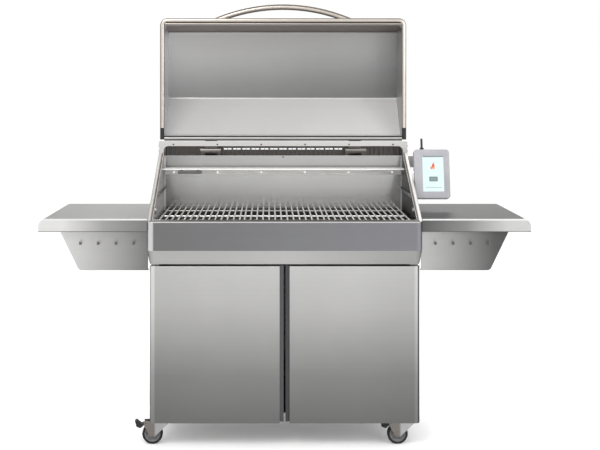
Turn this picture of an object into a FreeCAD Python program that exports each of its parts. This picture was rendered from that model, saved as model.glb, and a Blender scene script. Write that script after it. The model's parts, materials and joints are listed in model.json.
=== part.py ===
"""Pellet smoker grill on a wheeled cabinet, modelled piece by piece in millimetres.

Every piece is one node, written to parts/NODE.step.  While modelling, X = 0 is the middle, Y = 0 is
the plane of the front panel with +Y towards the back, and Z = 0 is the floor.  On writing, all pieces
move forward by half the depth, which puts the origin at the middle of the base.  The rest pose has
the hood open, the cabinet doors closed and the grates in place.
"""
import FreeCAD, Part
import math
import os

# Driving dimensions -------------------------------------------------------------------------------
DEPTH = 748.0              # front panel to the back of the open hood
SHEET = 1.5                # sheet steel thickness
PLATE = 2.0                # thicker folded plate

BODY_HALF = 531.5          # firebox, half width
BODY_BACK = 566.0          # firebox, back face
BODY_CORNER = 20.0         # radius of the upright front corners
BAND_BOTTOM = 711.0        # the front panel leans in below BAND_TOP
BAND_TOP = 765.5
BAND_INSET = 22.0          # how far the band leans in at the front
BAND_SIDE_INSET = 8.0
LIP_Z = 874.0              # front edge of the sloping rim
SLOPE = math.radians(25.6)
FRAME_Y = 498.0            # where the side walls step up to the rear frame
WALL_TOP = 1160.0

CHAMBER_HALF = 511.0       # cooking chamber, inside half width
CHAMBER_FRONT = 19.5
CHAMBER_BACK = 530.0
CHAMBER_FLOOR = 730.0
BACK_WALL_TOP = 1100.0     # top of the chamber's back wall, the lower edge of the rear slot
GRATE_TOP = 880.0
GRATE_SEAT = 866.8
GRATE_WIDTH = 331.0
GRATE_ROD_R = 3.0
GRATE_BAR_R = 4.0

PORT_AT = (117.0, 908.0)   # probe ports in the side walls, in Y and Z
PORT_SLEEVE_R = 8.0

VENT_SLOT_WIDTH = 33.0     # the row of slots high in the back wall
VENT_SLOT_PITCH = 40.0
VENT_SLOT_Z = (1123.5, 1130.0)
VENT_PLATE_TOP = 1157.0

AXIS_Y = 505.0             # hood hinge line
AXIS_Z = 1125.0
HINGE_X = (268.0, 354.0)   # one hinge, from side to side
HINGE_GAP = 0.5

HOOD_HALF = 528.0
HOOD_INNER_HALF = 509.5
HOOD_FACE = 500.0          # plane of the rim while the hood stands open
HOOD_BOTTOM = 1170.0
HOOD_TOP = 1690.0
RIM_DEPTH = 6.0
END_CAP_TOP = 1220.0

CART_HALF = 524.0          # over the closed doors
CABINET_HALF = 520.0
CABINET_FRONT = 52.0
CABINET_BACK = 560.0
CABINET_BOTTOM = 108.0
FOLD_X = 488.0             # inner edge of the side panels' front folds
DOOR_FRONT = 22.0
DOOR_BACK = 44.4
DOOR_Z = (95.5, 703.0)
DOOR_GAP = 3.5             # half the gap between the doors
PULL_X = 19.5              # inner edge of a door's face, where the finger pull steps back
PULL_BACK = 47.0
DOOR_AXIS = (521.5, 48.0)  # door hinge line in X and Y
KNUCKLE = 3.5
DOOR_HINGES = (160.0, 575.0)   # lower end of each door hinge
DOOR_HINGE_LENGTH = 60.0
DOOR_PIN_R = 1.75

SHELF_END = 952.0
SHELF_TOP = 887.0
SHELF_LIP = 50.0
SHELF_Y = (15.0, 573.0)
BRACKET_BOTTOM = 681.5
BRACKET_FOOT = 801.0       # the brackets' slanted end, at the bottom and at the shelf
BRACKET_HEAD = 875.0

CASTER_X = 479.5
CASTER_Y = (82.0, 500.0)   # front and rear pair
WHEEL_R = 40.0
TRAIL = 37.0               # front casters trail to the left at rest
PLATE_BOTTOM = 104.0       # underside of the caster mounting plates
PEDAL_X = -62.0            # brake pedal's pin, from the swivel axis
PEDAL_Z = 83.0

CASE_PLACE = (610.0, 300.0, 1039.0)
CASE_TILT = 13.0           # controller leans back, in degrees
SCREEN_X = (-38.5, 48.5)
SCREEN_Z = (-73.0, 73.0)
ANTENNA_AT = (-37.0, 22.0, 108.0)   # its hinge, in the controller's own axes

HOPPER_HALF = 300.0
HOPPER_Y = (570.0, 738.0)
HOPPER_TOP = 1060.0
LID_AXIS_Y = 744.0
LID_EARS = (-240.0, -190.0, 190.0, 240.0)
LID_EYES = (-215.0, 215.0)
LID_EYE_R = 4.0
LID_PIN_R = 2.0
AUGER_Z = 760.0
AUGER_HOLE_R = 27.6
POT_Y = 270.0
IGNITER_Z = 740.0
BLOWER_AT = (160.0, 440.0, 630.0)
PIN_CLEARANCE = 0.06       # radial running clearance round a pin


# Small helpers ------------------------------------------------------------------------------------
def vec(x, y, z):
    return FreeCAD.Vector(x, y, z)


def box(x, y, z):
    """A block between the low and high value of each axis."""
    return Part.makeBox(x[1] - x[0], y[1] - y[0], z[1] - z[0], vec(x[0], y[0], z[0]))


def rod(start, end, radius):
    """A round bar between two points."""
    direction = vec(*end) - vec(*start)
    return Part.makeCylinder(radius, direction.Length, vec(*start), direction)


def tube(start, end, outer, inner):
    return rod(start, end, outer).cut(rod(start, end, inner))


def prism(axis, points, low, high):
    """A polygon pushed along one axis.  Points hold the other two axes in X, Y, Z order."""
    index = "xyz".index(axis)
    corners = []
    for point in points:
        corner = list(point)
        corner.insert(index, low)
        corners.append(vec(*corner))
    push = [0, 0, 0]
    push[index] = high - low
    return Part.Face(Part.makePolygon(corners + corners[:1])).extrude(vec(*push))


def mirrored(shape):
    return shape.mirror(vec(0, 0, 0), vec(1, 0, 0))


def join(shapes):
    """Several shapes welded into one solid."""
    return shapes[0].multiFuse(shapes[1:]).removeSplitter()


def group(shapes):
    """Separate solids that share one node."""
    return Part.makeCompound([solid for shape in shapes for solid in shape.Solids])


def pair(shape):
    """A right-hand piece and its mirror image."""
    return group([shape, mirrored(shape)])


def moved(shape, x=0.0, y=0.0, z=0.0):
    copy = shape.copy()
    copy.translate(vec(x, y, z))
    return copy


def round_edges(shape, radius, along, keep):
    """Fillet the straight edges that run along an axis and whose middle satisfies keep(x, y, z)."""
    chosen = []
    for edge in shape.Edges:
        run = edge.lastVertex().Point - edge.firstVertex().Point
        if run.Length > 0 and abs(abs(run.normalize().dot(vec(*along))) - 1) < 1e-6:
            middle = edge.CenterOfMass
            if keep(middle.x, middle.y, middle.z):
                chosen.append(edge)
    return shape.makeFillet(radius, chosen)


def slope_z(y):
    """Height of the sloping rim at a distance behind the front panel."""
    return LIP_Z + y * math.tan(SLOPE)


def spread(low, high, count):
    return [low + (high - low) * step / (count - 1) for step in range(count)]


# Firebox ------------------------------------------------------------------------------------------
def plan_wire(half, front, back, radius, z):
    """Outline seen from above, with round corners at the front."""
    cut = radius * (1 - math.sqrt(0.5))
    left = [vec(-half, front + radius, z), vec(-half + cut, front + cut, z), vec(-half + radius, front, z)]
    right = [vec(half - radius, front, z), vec(half - cut, front + cut, z), vec(half, front + radius, z)]
    corners = [right[2], vec(half, back, z), vec(-half, back, z), left[0]]
    front_edge = Part.makeLine(left[2], right[0])
    sides = [Part.makeLine(a, b) for a, b in zip(corners, corners[1:])]
    return Part.Wire([Part.Arc(*left).toShape(), front_edge, Part.Arc(*right).toShape()] + sides)


def body_block(inset):
    """The firebox as a full block, shrunk by inset on every face."""
    radius = BODY_CORNER - inset
    top_wire = plan_wire(BODY_HALF - inset, inset, BODY_BACK - inset, radius, BAND_TOP)
    low_wire = plan_wire(BODY_HALF - BAND_SIDE_INSET - inset, BAND_INSET + inset, BODY_BACK - inset,
                         radius, BAND_BOTTOM + inset)
    band = Part.makeLoft([low_wire, top_wire], True, True)
    upper = Part.Face(top_wire).extrude(vec(0, 0, WALL_TOP - BAND_TOP))
    drop = inset / math.cos(SLOPE)
    step = FRAME_Y + inset
    outline = [(-1, BAND_TOP), (-1, slope_z(-1) - drop), (step, slope_z(step) - drop),
               (step, WALL_TOP - inset), (BODY_BACK, WALL_TOP - inset), (BODY_BACK, BAND_TOP)]
    upper = upper.common(prism("x", outline, -BODY_HALF, BODY_HALF))
    return join([band, upper])


def light_slots(y):
    """The row of vent slots high in the back wall."""
    half = VENT_SLOT_WIDTH / 2
    middles = [VENT_SLOT_PITCH * step for step in range(-6, 7)]
    return [box((x - half, x + half), y, VENT_SLOT_Z) for x in middles]


def firebox_shell():
    mouth = box((-CHAMBER_HALF - SHEET, CHAMBER_HALF + SHEET), (CHAMBER_FRONT - SHEET, BODY_BACK - SHEET),
                (BAND_TOP, WALL_TOP + 50))
    shell = body_block(0).cut(body_block(SHEET)).cut(mouth)
    auger_hole = rod((0, BODY_BACK - 10, AUGER_Z), (0, BODY_BACK + 10, AUGER_Z), AUGER_HOLE_R)
    return shell.cut(group(light_slots((BODY_BACK - 5, BODY_BACK + 5)) + [auger_hole]))


def chamber_block(grow):
    """The cooking chamber as a full block, grown by grow, with its sides cut to the sloping rim."""
    half = CHAMBER_HALF + grow
    front = CHAMBER_FRONT - grow
    back = CHAMBER_BACK + grow
    floor = CHAMBER_FLOOR - grow
    outline = [(front, floor), (front, slope_z(front)), (FRAME_Y, slope_z(FRAME_Y)), (back, 1150.0),
               (back, floor)]
    return prism("x", outline, -half, half)


def firebox_liner():
    liner = chamber_block(SHEET).cut(chamber_block(0))
    top_outline = [(CHAMBER_FRONT - 5, LIP_Z + 20), (FRAME_Y, slope_z(FRAME_Y) + 12), (FRAME_Y, 1200),
                   (CHAMBER_FRONT - 5, 1200)]
    open_top = prism("x", top_outline, -600, 600)
    above_back_wall = box((-600, 600), (FRAME_Y, CHAMBER_BACK + 10), (BACK_WALL_TOP, 1200))
    channel = box((-CHAMBER_HALF, CHAMBER_HALF), (CHAMBER_BACK, BODY_BACK - 2 * SHEET), (1088.0, 1089.5))
    front_seat = box((-CHAMBER_HALF, CHAMBER_HALF), (CHAMBER_FRONT, 34), (GRATE_SEAT - SHEET, GRATE_SEAT))
    back_seat = box((-CHAMBER_HALF, CHAMBER_HALF), (514, CHAMBER_BACK), (GRATE_SEAT - SHEET, GRATE_SEAT))
    liner = liner.cut(open_top).cut(above_back_wall)
    auger_hole = rod((0, CHAMBER_BACK - 5, AUGER_Z), (0, CHAMBER_BACK + 5, AUGER_Z), AUGER_HOLE_R)
    y, z = PORT_AT
    ports = [rod((x - 6, y, z), (x + 6, y, z), PORT_SLEEVE_R) for x in (-CHAMBER_HALF, CHAMBER_HALF)]
    return join([liner, channel, front_seat, back_seat]).cut(group([auger_hole] + ports))


def rear_frame():
    """The bright frame round the rear slot."""
    frame = box((-BODY_HALF, BODY_HALF), (FRAME_Y - PLATE, FRAME_Y), (1113.5, 1164.0))
    frame = round_edges(frame, 12.0, (0, 1, 0), lambda x, y, z: z > 1150)
    slot = box((-512, 512), (FRAME_Y - 5, FRAME_Y + 5), (1090, 1142))
    slot = round_edges(slot, 20.0, (0, 1, 0), lambda x, y, z: z > 1140)
    return frame.cut(slot)


def vent_grille():
    """Black fins in the rear slot, on a plate whose slots let the exhaust out of the back."""
    plate = box((-510, 510), (561, 563), (1090, VENT_PLATE_TOP)).cut(group(light_slots((555, 570))))
    fins = [box((x - 1, x + 1), (546, 561), (1090, 1152)) for x in spread(-500, 500, 51)
            if not HINGE_X[0] - 8 < abs(x) < HINGE_X[1] + 8]
    return join([plate] + fins)


def rear_ledge():
    """A bright shelf across the back of the chamber, held by a row of screws."""
    half = CHAMBER_HALF - 0.5
    front, top = 425.0, 1050.0
    shelf = box((-half, half), (front, CHAMBER_BACK), (top - SHEET, top))
    lip = box((-half, half), (front, front + SHEET), (top - 4.6, top))
    flange = box((-half, half), (CHAMBER_BACK - SHEET, CHAMBER_BACK), (1018, top))
    return join([shelf, lip, flange])


def rack_rails():
    """Two angle rails on the chamber's side walls for an upper rack."""
    length = (195.0, 515.0)
    leg = box((CHAMBER_HALF - SHEET, CHAMBER_HALF), length, (950, 966))
    tread = box((500, CHAMBER_HALF), length, (966 - SHEET, 966))
    return pair(join([leg, tread]))


def probe_ports():
    """Round grommets in the side walls for meat probe leads."""
    x = CHAMBER_HALF
    y, z = PORT_AT
    flange = tube((x - 5, y, z), (x, y, z), 12, 5)
    sleeve = tube((x, y, z), (x + 9, y, z), PORT_SLEEVE_R, 5)
    return pair(join([flange, sleeve]))


def temperature_probe():
    """A dark bar hung under the rear ledge."""
    bar = box((-446, -345), (430, 440), (1029, 1042))
    bar = round_edges(bar, 4.0, (1, 0, 0), lambda x, y, z: True)
    tabs = [box((x - 6, x + 6), (432, 438), (1041, 1048.5)) for x in (-430, -361)]
    return join([bar] + tabs)


def heat_deflector():
    """A ridge of plate over the burn pot, on four legs."""
    eaves, rise, half = 812.0, 26.0, 180.0
    top = eaves + PLATE
    outline = [(-half, eaves), (0, eaves + rise), (half, eaves), (half, top), (0, top + rise), (-half, top)]
    roof = prism("y", outline, 130, 410)
    places = [(x, y) for x in (-170, 170) for y in (160, 380)]
    legs = [box((x - 1, x + 1), (y - 12, y + 12), (CHAMBER_FLOOR, top)) for x, y in places]
    return join([roof] + legs)


def drip_tray():
    half, front, back, floor = 470.0, 45.0, 500.0, 842.0
    outer = box((-half, half), (front, back), (floor, 858))
    return outer.cut(box((SHEET - half, half - SHEET), (front + SHEET, back - SHEET), (floor + SHEET, 870)))


def burn_pot():
    """The fire cup, with air holes round its wall."""
    cup = tube((0, POT_Y, CHAMBER_FLOOR), (0, POT_Y, 800), 60, 57)
    floor = rod((0, POT_Y, CHAMBER_FLOOR), (0, POT_Y, CHAMBER_FLOOR + 3), 57)
    cup = join([cup, floor])
    feed = rod((0, POT_Y + 40, AUGER_Z), (0, POT_Y + 70, AUGER_Z), 25)
    spark = rod((40, POT_Y, IGNITER_Z), (70, POT_Y, IGNITER_Z), 5.5)
    holes = []
    for step in range(12):
        angle = math.radians(15 + 30 * step)
        reach = (70 * math.cos(angle), POT_Y + 70 * math.sin(angle), 788)
        holes.append(rod((0, POT_Y, 788), reach, 4))
    return cup.cut(group([feed, spark] + holes))


def igniter():
    """The hot rod that lights the pellets, in its ceramic holder."""
    hot_rod = rod((50, POT_Y, IGNITER_Z), (110, POT_Y, IGNITER_Z), 5)
    holder = rod((95, POT_Y, IGNITER_Z), (150, POT_Y, IGNITER_Z), 9)
    foot = box((120, 140), (POT_Y - 9, POT_Y + 9), (CHAMBER_FLOOR, 736))
    return join([hot_rod, holder, foot])


def grate(low, high):
    """One lift-out grate: thin rods front to back, welded on cross bars that rest on the liner's seats."""
    bar_z = GRATE_SEAT + GRATE_BAR_R
    rod_z = GRATE_TOP - GRATE_ROD_R
    bars = [rod((low, y, bar_z), (high, y, bar_z), GRATE_BAR_R) for y in (30, 243, 438, 518)]
    rods = [rod((x, 26, rod_z), (x, 522, rod_z), GRATE_ROD_R) for x in spread(low + 9, high - 9, 14)]
    return join(bars + rods)


# Pellet feed --------------------------------------------------------------------------------------
def rectangle(half, y, z):
    corners = [vec(-half, y[0], z), vec(half, y[0], z), vec(half, y[1], z), vec(-half, y[1], z)]
    return Part.makePolygon(corners + corners[:1])


def hopper_block(inset):
    """The bin as a full block: straight above, tapering to a throat over the auger tube."""
    low, high = HOPPER_Y[0] + inset, HOPPER_Y[1] - inset
    bin_part = box((-HOPPER_HALF + inset, HOPPER_HALF - inset), (low, high), (905, HOPPER_TOP))
    taper = Part.makeLoft([rectangle(24 - inset, (612 + inset, 688 - inset), 800),
                           rectangle(HOPPER_HALF - inset, (low, high), 905)], True, True)
    throat = box((-24 + inset, 24 - inset), (612 + inset, 688 - inset), (787.0, 800))
    return join([bin_part, taper, throat])


def hopper():
    mouth = box((-HOPPER_HALF + SHEET, HOPPER_HALF - SHEET), (HOPPER_Y[0] + SHEET, HOPPER_Y[1] - SHEET),
                (1000, HOPPER_TOP + 1))
    throat = box((-22.5, 22.5), (613.5, 686.5), (780, 790))
    shell = hopper_block(0).cut(hopper_block(SHEET)).cut(mouth).cut(throat)
    seat = [box((x - 15, x + 15), (BODY_BACK, HOPPER_Y[0]), (930, 1040)) for x in (-200, 200)]
    ears = []
    for x in LID_EARS:
        ear = box((x - 10, x + 10), (HOPPER_Y[1], LID_AXIS_Y), (HOPPER_TOP - 20, HOPPER_TOP))
        room = lid_rod(x, 11, LID_EYE_R)
        ears += [ear.cut(room), lid_rod(x, 10, LID_EYE_R).cut(lid_rod(x, 10, LID_PIN_R))]
    return join([shell] + seat + ears)


def lid_rod(x, half, radius):
    """A round bar on the lid's hinge line, half its length either side of x."""
    return rod((x - half, LID_AXIS_Y, HOPPER_TOP), (x + half, LID_AXIS_Y, HOPPER_TOP), radius)


def hopper_lid():
    """The bin's lid, hinged along its back edge."""
    half = HOPPER_HALF + 2
    low, high = HOPPER_Y[0] - 2, HOPPER_Y[1] + 1
    under = HOPPER_TOP + 0.3
    lip_z = (HOPPER_TOP - 14, HOPPER_TOP + 1)
    top = box((-half, half), (low, high), (under, under + SHEET))
    lips = [box((-half, half), (low, low + SHEET), lip_z),
            box((-half, -half + SHEET), (low, high), lip_z),
            box((half - SHEET, half), (low, high), lip_z)]
    eyes = [lid_rod(x, 14, LID_EYE_R).cut(lid_rod(x, 14, LID_PIN_R + PIN_CLEARANCE)) for x in LID_EYES]
    straps = [box((x - 14, x + 14), (high - 12, LID_AXIS_Y - 1), (under + SHEET, under + SHEET + PLATE))
              for x in LID_EYES]
    return join([top] + lips + eyes + straps)


def auger_tube():
    pipe = tube((0, POT_Y + 60, AUGER_Z), (0, 700, AUGER_Z), 27, 25)
    feed_hole = box((-20, 20), (616, 684), (AUGER_Z, AUGER_Z + 40))
    pot = rod((0, POT_Y, AUGER_Z - 50), (0, POT_Y, AUGER_Z + 50), 60)
    return pipe.cut(feed_hole).cut(pot)


def auger_screw():
    """A shaft with a helical flight that carries pellets to the pot."""
    start, end = 340.0, 690.0
    pitch, outer, shaft = 38.0, 22.0, 7.0
    inner, half_blade, margin = shaft - 1.0, 1.5, 10.0
    helix = Part.makeHelix(pitch, end - start - 2 * margin, (outer + inner) / 2)
    corners = [vec(inner, 0, -half_blade), vec(outer, 0, -half_blade), vec(outer, 0, half_blade),
               vec(inner, 0, half_blade)]
    blade = Part.makePolygon(corners + corners[:1])
    flight = Part.Wire(helix).makePipeShell([blade], True, True)
    flight.rotate(vec(0, 0, 0), vec(1, 0, 0), -90)
    flight.translate(vec(0, start + margin, AUGER_Z))
    core = rod((0, start, AUGER_Z), (0, 712, AUGER_Z), shaft)
    return join([core, flight])


def auger_motor():
    """Gear motor at the back end of the auger tube."""
    case = box((-32, 32), (702, 742), (AUGER_Z - 36, AUGER_Z + 36))
    case = round_edges(case, 5.0, (0, 1, 0), lambda x, y, z: True)
    flange = box((-34, 34), (700, 703), (AUGER_Z - 38, AUGER_Z + 38))
    bore = rod((0, 690, AUGER_Z), (0, 714, AUGER_Z), 7 + PIN_CLEARANCE)
    return join([case, flange]).cut(bore)


def blower_housing():
    """Snail housing under the firebox with its outlet upwards, and the motor on its side."""
    x, y, z = BLOWER_AT
    body = rod((x - 25, y, z), (x + 25, y, z), 60)
    outlet = box((x - 25, x + 25), (y + 5, y + 60), (z, BAND_BOTTOM))
    outer = join([body, outlet])
    drum = rod((x - 23, y, z), (x + 23, y, z), 58)
    hollow = join([drum, box((x - 23, x + 23), (y + 7, y + 58), (z, BAND_BOTTOM))])
    inlet = rod((x - 30, y, z), (x - 20, y, z), 30)
    shaft_hole = rod((x + 20, y, z), (x + 30, y, z), 6)
    motor = tube((x + 25, y, z), (x + 65, y, z), 26, 4 + PIN_CLEARANCE)
    return group([outer.cut(hollow).cut(inlet).cut(shaft_hole), motor])


def blower_rotor():
    """Squirrel-cage wheel on its shaft."""
    x, y, z = BLOWER_AT
    disc = rod((x + 16, y, z), (x + 18, y, z), 48)
    ring = tube((x - 18, y, z), (x - 16, y, z), 48, 40)
    hub = rod((x + 4, y, z), (x + 18, y, z), 10)
    shaft = rod((x + 4, y, z), (x + 60, y, z), 4)
    blades = []
    for step in range(18):
        blade = box((x - 17, x + 17), (y + 40, y + 48), (z - 0.8, z + 0.8))
        blade.rotate(vec(x, y, z), vec(1, 0, 0), 20 * step)
        blades.append(blade)
    return join([disc, ring, hub, shaft] + blades)


def power_inlet():
    """Mains socket on the back of the firebox."""
    block = box((-446, -394), (BODY_BACK, 580), (790, 822))
    block = round_edges(block, 4.0, (0, 1, 0), lambda x, y, z: True)
    socket = box((-436, -404), (570, 590), (797, 815))
    pins = [box((x - 1, x + 1), (570, 577), (803, 809)) for x in (-428, -420, -412)]
    return join([block.cut(socket)] + pins)


# Hood, modelled standing open ---------------------------------------------------------------------
def hood_profile(points, radii):
    """A closed side outline in Y and Z with rounded corners."""
    edges = []
    count = len(points)
    tangents = []
    for index, (y, z) in enumerate(points):
        before = vec(0, *points[index - 1])
        here = vec(0, y, z)
        after = vec(0, *points[(index + 1) % count])
        radius = radii[index]
        into = (before - here).normalize()
        out = (after - here).normalize()
        if radius == 0:
            tangents.append((here, here))
            continue
        half_angle = into.getAngle(out) / 2
        run = radius / math.tan(half_angle)
        start, end = here + into * run, here + out * run
        centre = here + (into + out).normalize() * (radius / math.sin(half_angle))
        middle = centre + (here - centre).normalize() * radius
        edges.append(Part.Arc(start, middle, end).toShape())
        tangents.append((start, end))
    for index in range(count):
        a, b = tangents[index][1], tangents[(index + 1) % count][0]
        if (b - a).Length > 1e-6:
            edges.append(Part.makeLine(a, b))
    return Part.Wire(Part.__sortEdges__(edges))


def hood_block(half, points, radii, corner):
    """A side outline pushed across the width, with round corners along the top."""
    block = Part.Face(hood_profile(points, radii)).extrude(vec(2 * half, 0, 0))
    block.translate(vec(-half, 0, 0))
    top = max(z for _, z in points)
    window = box((-half, half), (HOOD_FACE - 50, DEPTH + 50), (HOOD_BOTTOM - 50, top))
    return block.common(round_edges(window, corner, (0, 1, 0), lambda x, y, z: z > HOOD_BOTTOM))


def hood_outer(inset):
    """The hood's outside, shrunk by inset but always open to the front."""
    face = HOOD_FACE - 10 * (inset > 0)
    back = DEPTH - inset
    points = [(face, HOOD_BOTTOM + inset), (565 - 0.45 * inset, HOOD_BOTTOM + inset),
              (back, 1340 + 0.5 * inset), (back, 1668 - inset), (face, HOOD_TOP - inset)]
    return hood_block(HOOD_HALF - inset, points, [0, 10, 20, 30 - inset, 0], 32 - inset)


def hood_inner(grow):
    """The hood's cavity, grown by grow."""
    back = 718 + grow
    points = [(HOOD_FACE - 10, 1181 - grow), (571 + 0.4 * grow, 1188 - grow), (back, 1344 - 0.5 * grow),
              (back, 1642 + grow), (HOOD_FACE - 10, 1661 + grow)]
    return hood_block(HOOD_INNER_HALF + grow, points, [0, 8, 14, 14, 0], 14)


def behind_rim():
    return box((-600, 600), (HOOD_FACE + RIM_DEPTH, DEPTH + 10), (HOOD_BOTTOM - 10, HOOD_TOP + 10))


def hood_shell():
    return hood_outer(0).cut(hood_outer(SHEET)).common(behind_rim())


def hood_liner():
    return hood_inner(SHEET).cut(hood_inner(0)).common(behind_rim())


def rim_ring():
    """The frame that closes the gap between the hood's two skins."""
    front = box((-600, 600), (HOOD_FACE, HOOD_FACE + RIM_DEPTH), (HOOD_BOTTOM - 10, HOOD_TOP + 10))
    return hood_outer(0).cut(hood_inner(0)).common(front)


def end_cap_region():
    depth = (HOOD_FACE - 5, HOOD_FACE + RIM_DEPTH)
    return box((HOOD_INNER_HALF, 600), depth, (HOOD_BOTTOM - 10, END_CAP_TOP))


def hood_rim():
    return group([rim_ring().cut(pair(end_cap_region()))])


def rim_end_caps():
    return group([rim_ring().common(pair(end_cap_region()))])


def hood_handle():
    """A bowed tube handle along the hood's top edge."""
    span, top, radius, y = 305.0, 1744.5, 12.5, 605.0
    rise = top - 1680.0
    sweep = (span ** 2 + rise ** 2) / (2 * rise)
    angle = math.degrees(math.asin(span / sweep))
    centre = vec(0, y, top - sweep)
    circle = Part.Face(Part.Wire(Part.makeCircle(radius, vec(0, y, top), vec(1, 0, 0))))
    circle.rotate(centre, vec(0, 1, 0), -angle)
    bow = circle.revolve(centre, vec(0, 1, 0), 2 * angle)
    posts = [rod((x, y, 1660), (x, y, 1684), 15) for x in (-span, span)]
    return join([bow] + posts).cut(hood_outer(0))


def at_axis(points):
    """Side outline given from the hinge line."""
    return [(AXIS_Y + y, AXIS_Z + z) for y, z in points]


def hood_hinge_arms():
    """Goose-neck arms that reach from the hinge line, under and behind the rear frame, to the hood."""
    low, high = HINGE_X[0] + 16 + HINGE_GAP, HINGE_X[1] - 16 - HINGE_GAP
    neck_outline = [(3, -5), (43.5, -28.2), (47.5, -25), (47.5, 45), (42.5, 45), (42.5, -21.9), (5.5, -0.7)]
    neck = prism("x", at_axis(neck_outline), low, high)
    foot = prism("x", at_axis([(22, 42), (59, 42), (59, 45), (22, 45)]), low, high)
    eye = rod((low, AXIS_Y, AXIS_Z), (high, AXIS_Y, AXIS_Z), 7)
    bore = rod((low - 1, AXIS_Y, AXIS_Z), (high + 1, AXIS_Y, AXIS_Z), 4 + PIN_CLEARANCE)
    return pair(join([neck, foot, eye]).cut(bore))


def hood_hinge_brackets():
    """The fixed halves of the hood hinges, standing on the channel floor behind the chamber wall."""
    brackets = []
    outline = [(2, -7), (28, -23), (28, -35.5), (52, -35.5), (52, -33), (32, -33), (32, -20), (6, -3)]
    for low in (HINGE_X[0], HINGE_X[1] - 16):
        high = low + 16
        arm = prism("x", at_axis(outline), low, high)
        eye = rod((low, AXIS_Y, AXIS_Z), (high, AXIS_Y, AXIS_Z), 7)
        bore = rod((low - 1, AXIS_Y, AXIS_Z), (high + 1, AXIS_Y, AXIS_Z), 4)
        brackets.append(join([arm, eye]).cut(bore))
    return pair(group(brackets))


def hinge_pins():
    """All fixed hinge pins: hood, cabinet doors and hopper lid."""
    hood = pair(rod((HINGE_X[0] - 2, AXIS_Y, AXIS_Z), (HINGE_X[1] + 2, AXIS_Y, AXIS_Z), 4))
    x, y = DOOR_AXIS
    doors = [rod((side * x, y, low - 2), (side * x, y, low + DOOR_HINGE_LENGTH + 2), DOOR_PIN_R)
             for side in (-1, 1) for low in DOOR_HINGES]
    lid = [lid_rod(x, 38, LID_PIN_R) for x in LID_EYES]
    return group([hood] + doors + lid)


# Cabinet and doors --------------------------------------------------------------------------------
def cabinet_sides():
    tall = (CABINET_BOTTOM, BAND_BOTTOM)
    panel = box((CABINET_HALF - PLATE, CABINET_HALF), (CABINET_FRONT, CABINET_BACK), tall)
    fold = box((FOLD_X, CABINET_HALF), (CABINET_FRONT, CABINET_FRONT + PLATE), tall)
    return pair(join([panel, fold]))


def cabinet_floor():
    inside = CABINET_HALF - PLATE
    front = CABINET_FRONT + PLATE
    floor = box((-inside, inside), (front, CABINET_BACK - PLATE), (CABINET_BOTTOM, CABINET_BOTTOM + PLATE))
    kerb = box((-FOLD_X, FOLD_X), (front, front + PLATE), (CABINET_BOTTOM, 128))
    return join([floor, kerb])


def cabinet_back():
    inside = CABINET_HALF - PLATE
    panel = box((-inside, inside), (CABINET_BACK - PLATE, CABINET_BACK), (CABINET_BOTTOM, BAND_BOTTOM))
    vents = [box((x - 30, x + 30), (CABINET_BACK - 5, CABINET_BACK + 5), (z, z + 5))
             for x in (-250, 250) for z in (560, 575, 590, 605)]
    return panel.cut(group(vents))


def door_hinge_leaf(fixed):
    """One hinge's fixed or moving half, at the lower hinge of the right-hand door."""
    x, y = DOOR_AXIS
    low = DOOR_HINGES[0]
    high = low + DOOR_HINGE_LENGTH
    third = DOOR_HINGE_LENGTH / 3
    outer_spans = [(low, low + third), (high - third, high)]
    middle_span = [(low + third, high - third)]
    if fixed:
        own, other = outer_spans, middle_span
        plate_y = (y + KNUCKLE - 2, CABINET_FRONT)
        bore_radius = DOOR_PIN_R
    else:
        own, other = middle_span, outer_spans
        plate_y = (DOOR_BACK, y - KNUCKLE + 2)
        bore_radius = DOOR_PIN_R + PIN_CLEARANCE
    leaf = box((498, x), plate_y, (low, high))
    shape = join([leaf] + [rod((x, y, a), (x, y, b), KNUCKLE) for a, b in own])
    room = [rod((x, y, a - 0.3), (x, y, b + 0.3), KNUCKLE + 0.3) for a, b in other]
    return shape.cut(group(room)).cut(rod((x, y, low - 2), (x, y, high + 2), bore_radius))


def door_hinge_leaves():
    lower = door_hinge_leaf(True)
    return pair(group([lower, moved(lower, z=DOOR_HINGES[1] - DOOR_HINGES[0])]))


def right_door():
    """A folded pan with a rounded outer corner, returns round the back and a stepped finger pull."""
    z_low, z_high = DOOR_Z
    outer = box((PULL_X, CART_HALF), (DOOR_FRONT, DOOR_BACK), DOOR_Z)
    outer = round_edges(outer, 20.0, (0, 0, 1), lambda x, y, z: x > 500 and y < 30)
    hollow = box((PULL_X + SHEET, CART_HALF - SHEET), (DOOR_FRONT + SHEET, DOOR_BACK - SHEET),
                 (z_low + SHEET, z_high - SHEET))
    hollow = round_edges(hollow, 18.5, (0, 0, 1), lambda x, y, z: x > 500 and y < 30)
    window = box((PULL_X + 28, 494), (DOOR_BACK - 5, DOOR_BACK + 5), (z_low + 28, z_high - 28))
    pan = outer.cut(hollow).cut(window)
    step = box((PULL_X, PULL_X + SHEET), (DOOR_FRONT, PULL_BACK), DOOR_Z)
    pull = box((DOOR_GAP, PULL_X + SHEET), (PULL_BACK - SHEET, PULL_BACK), DOOR_Z)
    panel = join([pan, step, pull])
    lower = door_hinge_leaf(False)
    return group([panel, lower, moved(lower, z=DOOR_HINGES[1] - DOOR_HINGES[0])])


def door_liner():
    """The flat inner panel that closes the back of the right-hand door."""
    return box((PULL_X + 30, 492), (DOOR_BACK - SHEET, DOOR_BACK), (DOOR_Z[0] + 30, DOOR_Z[1] - 30))


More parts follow.
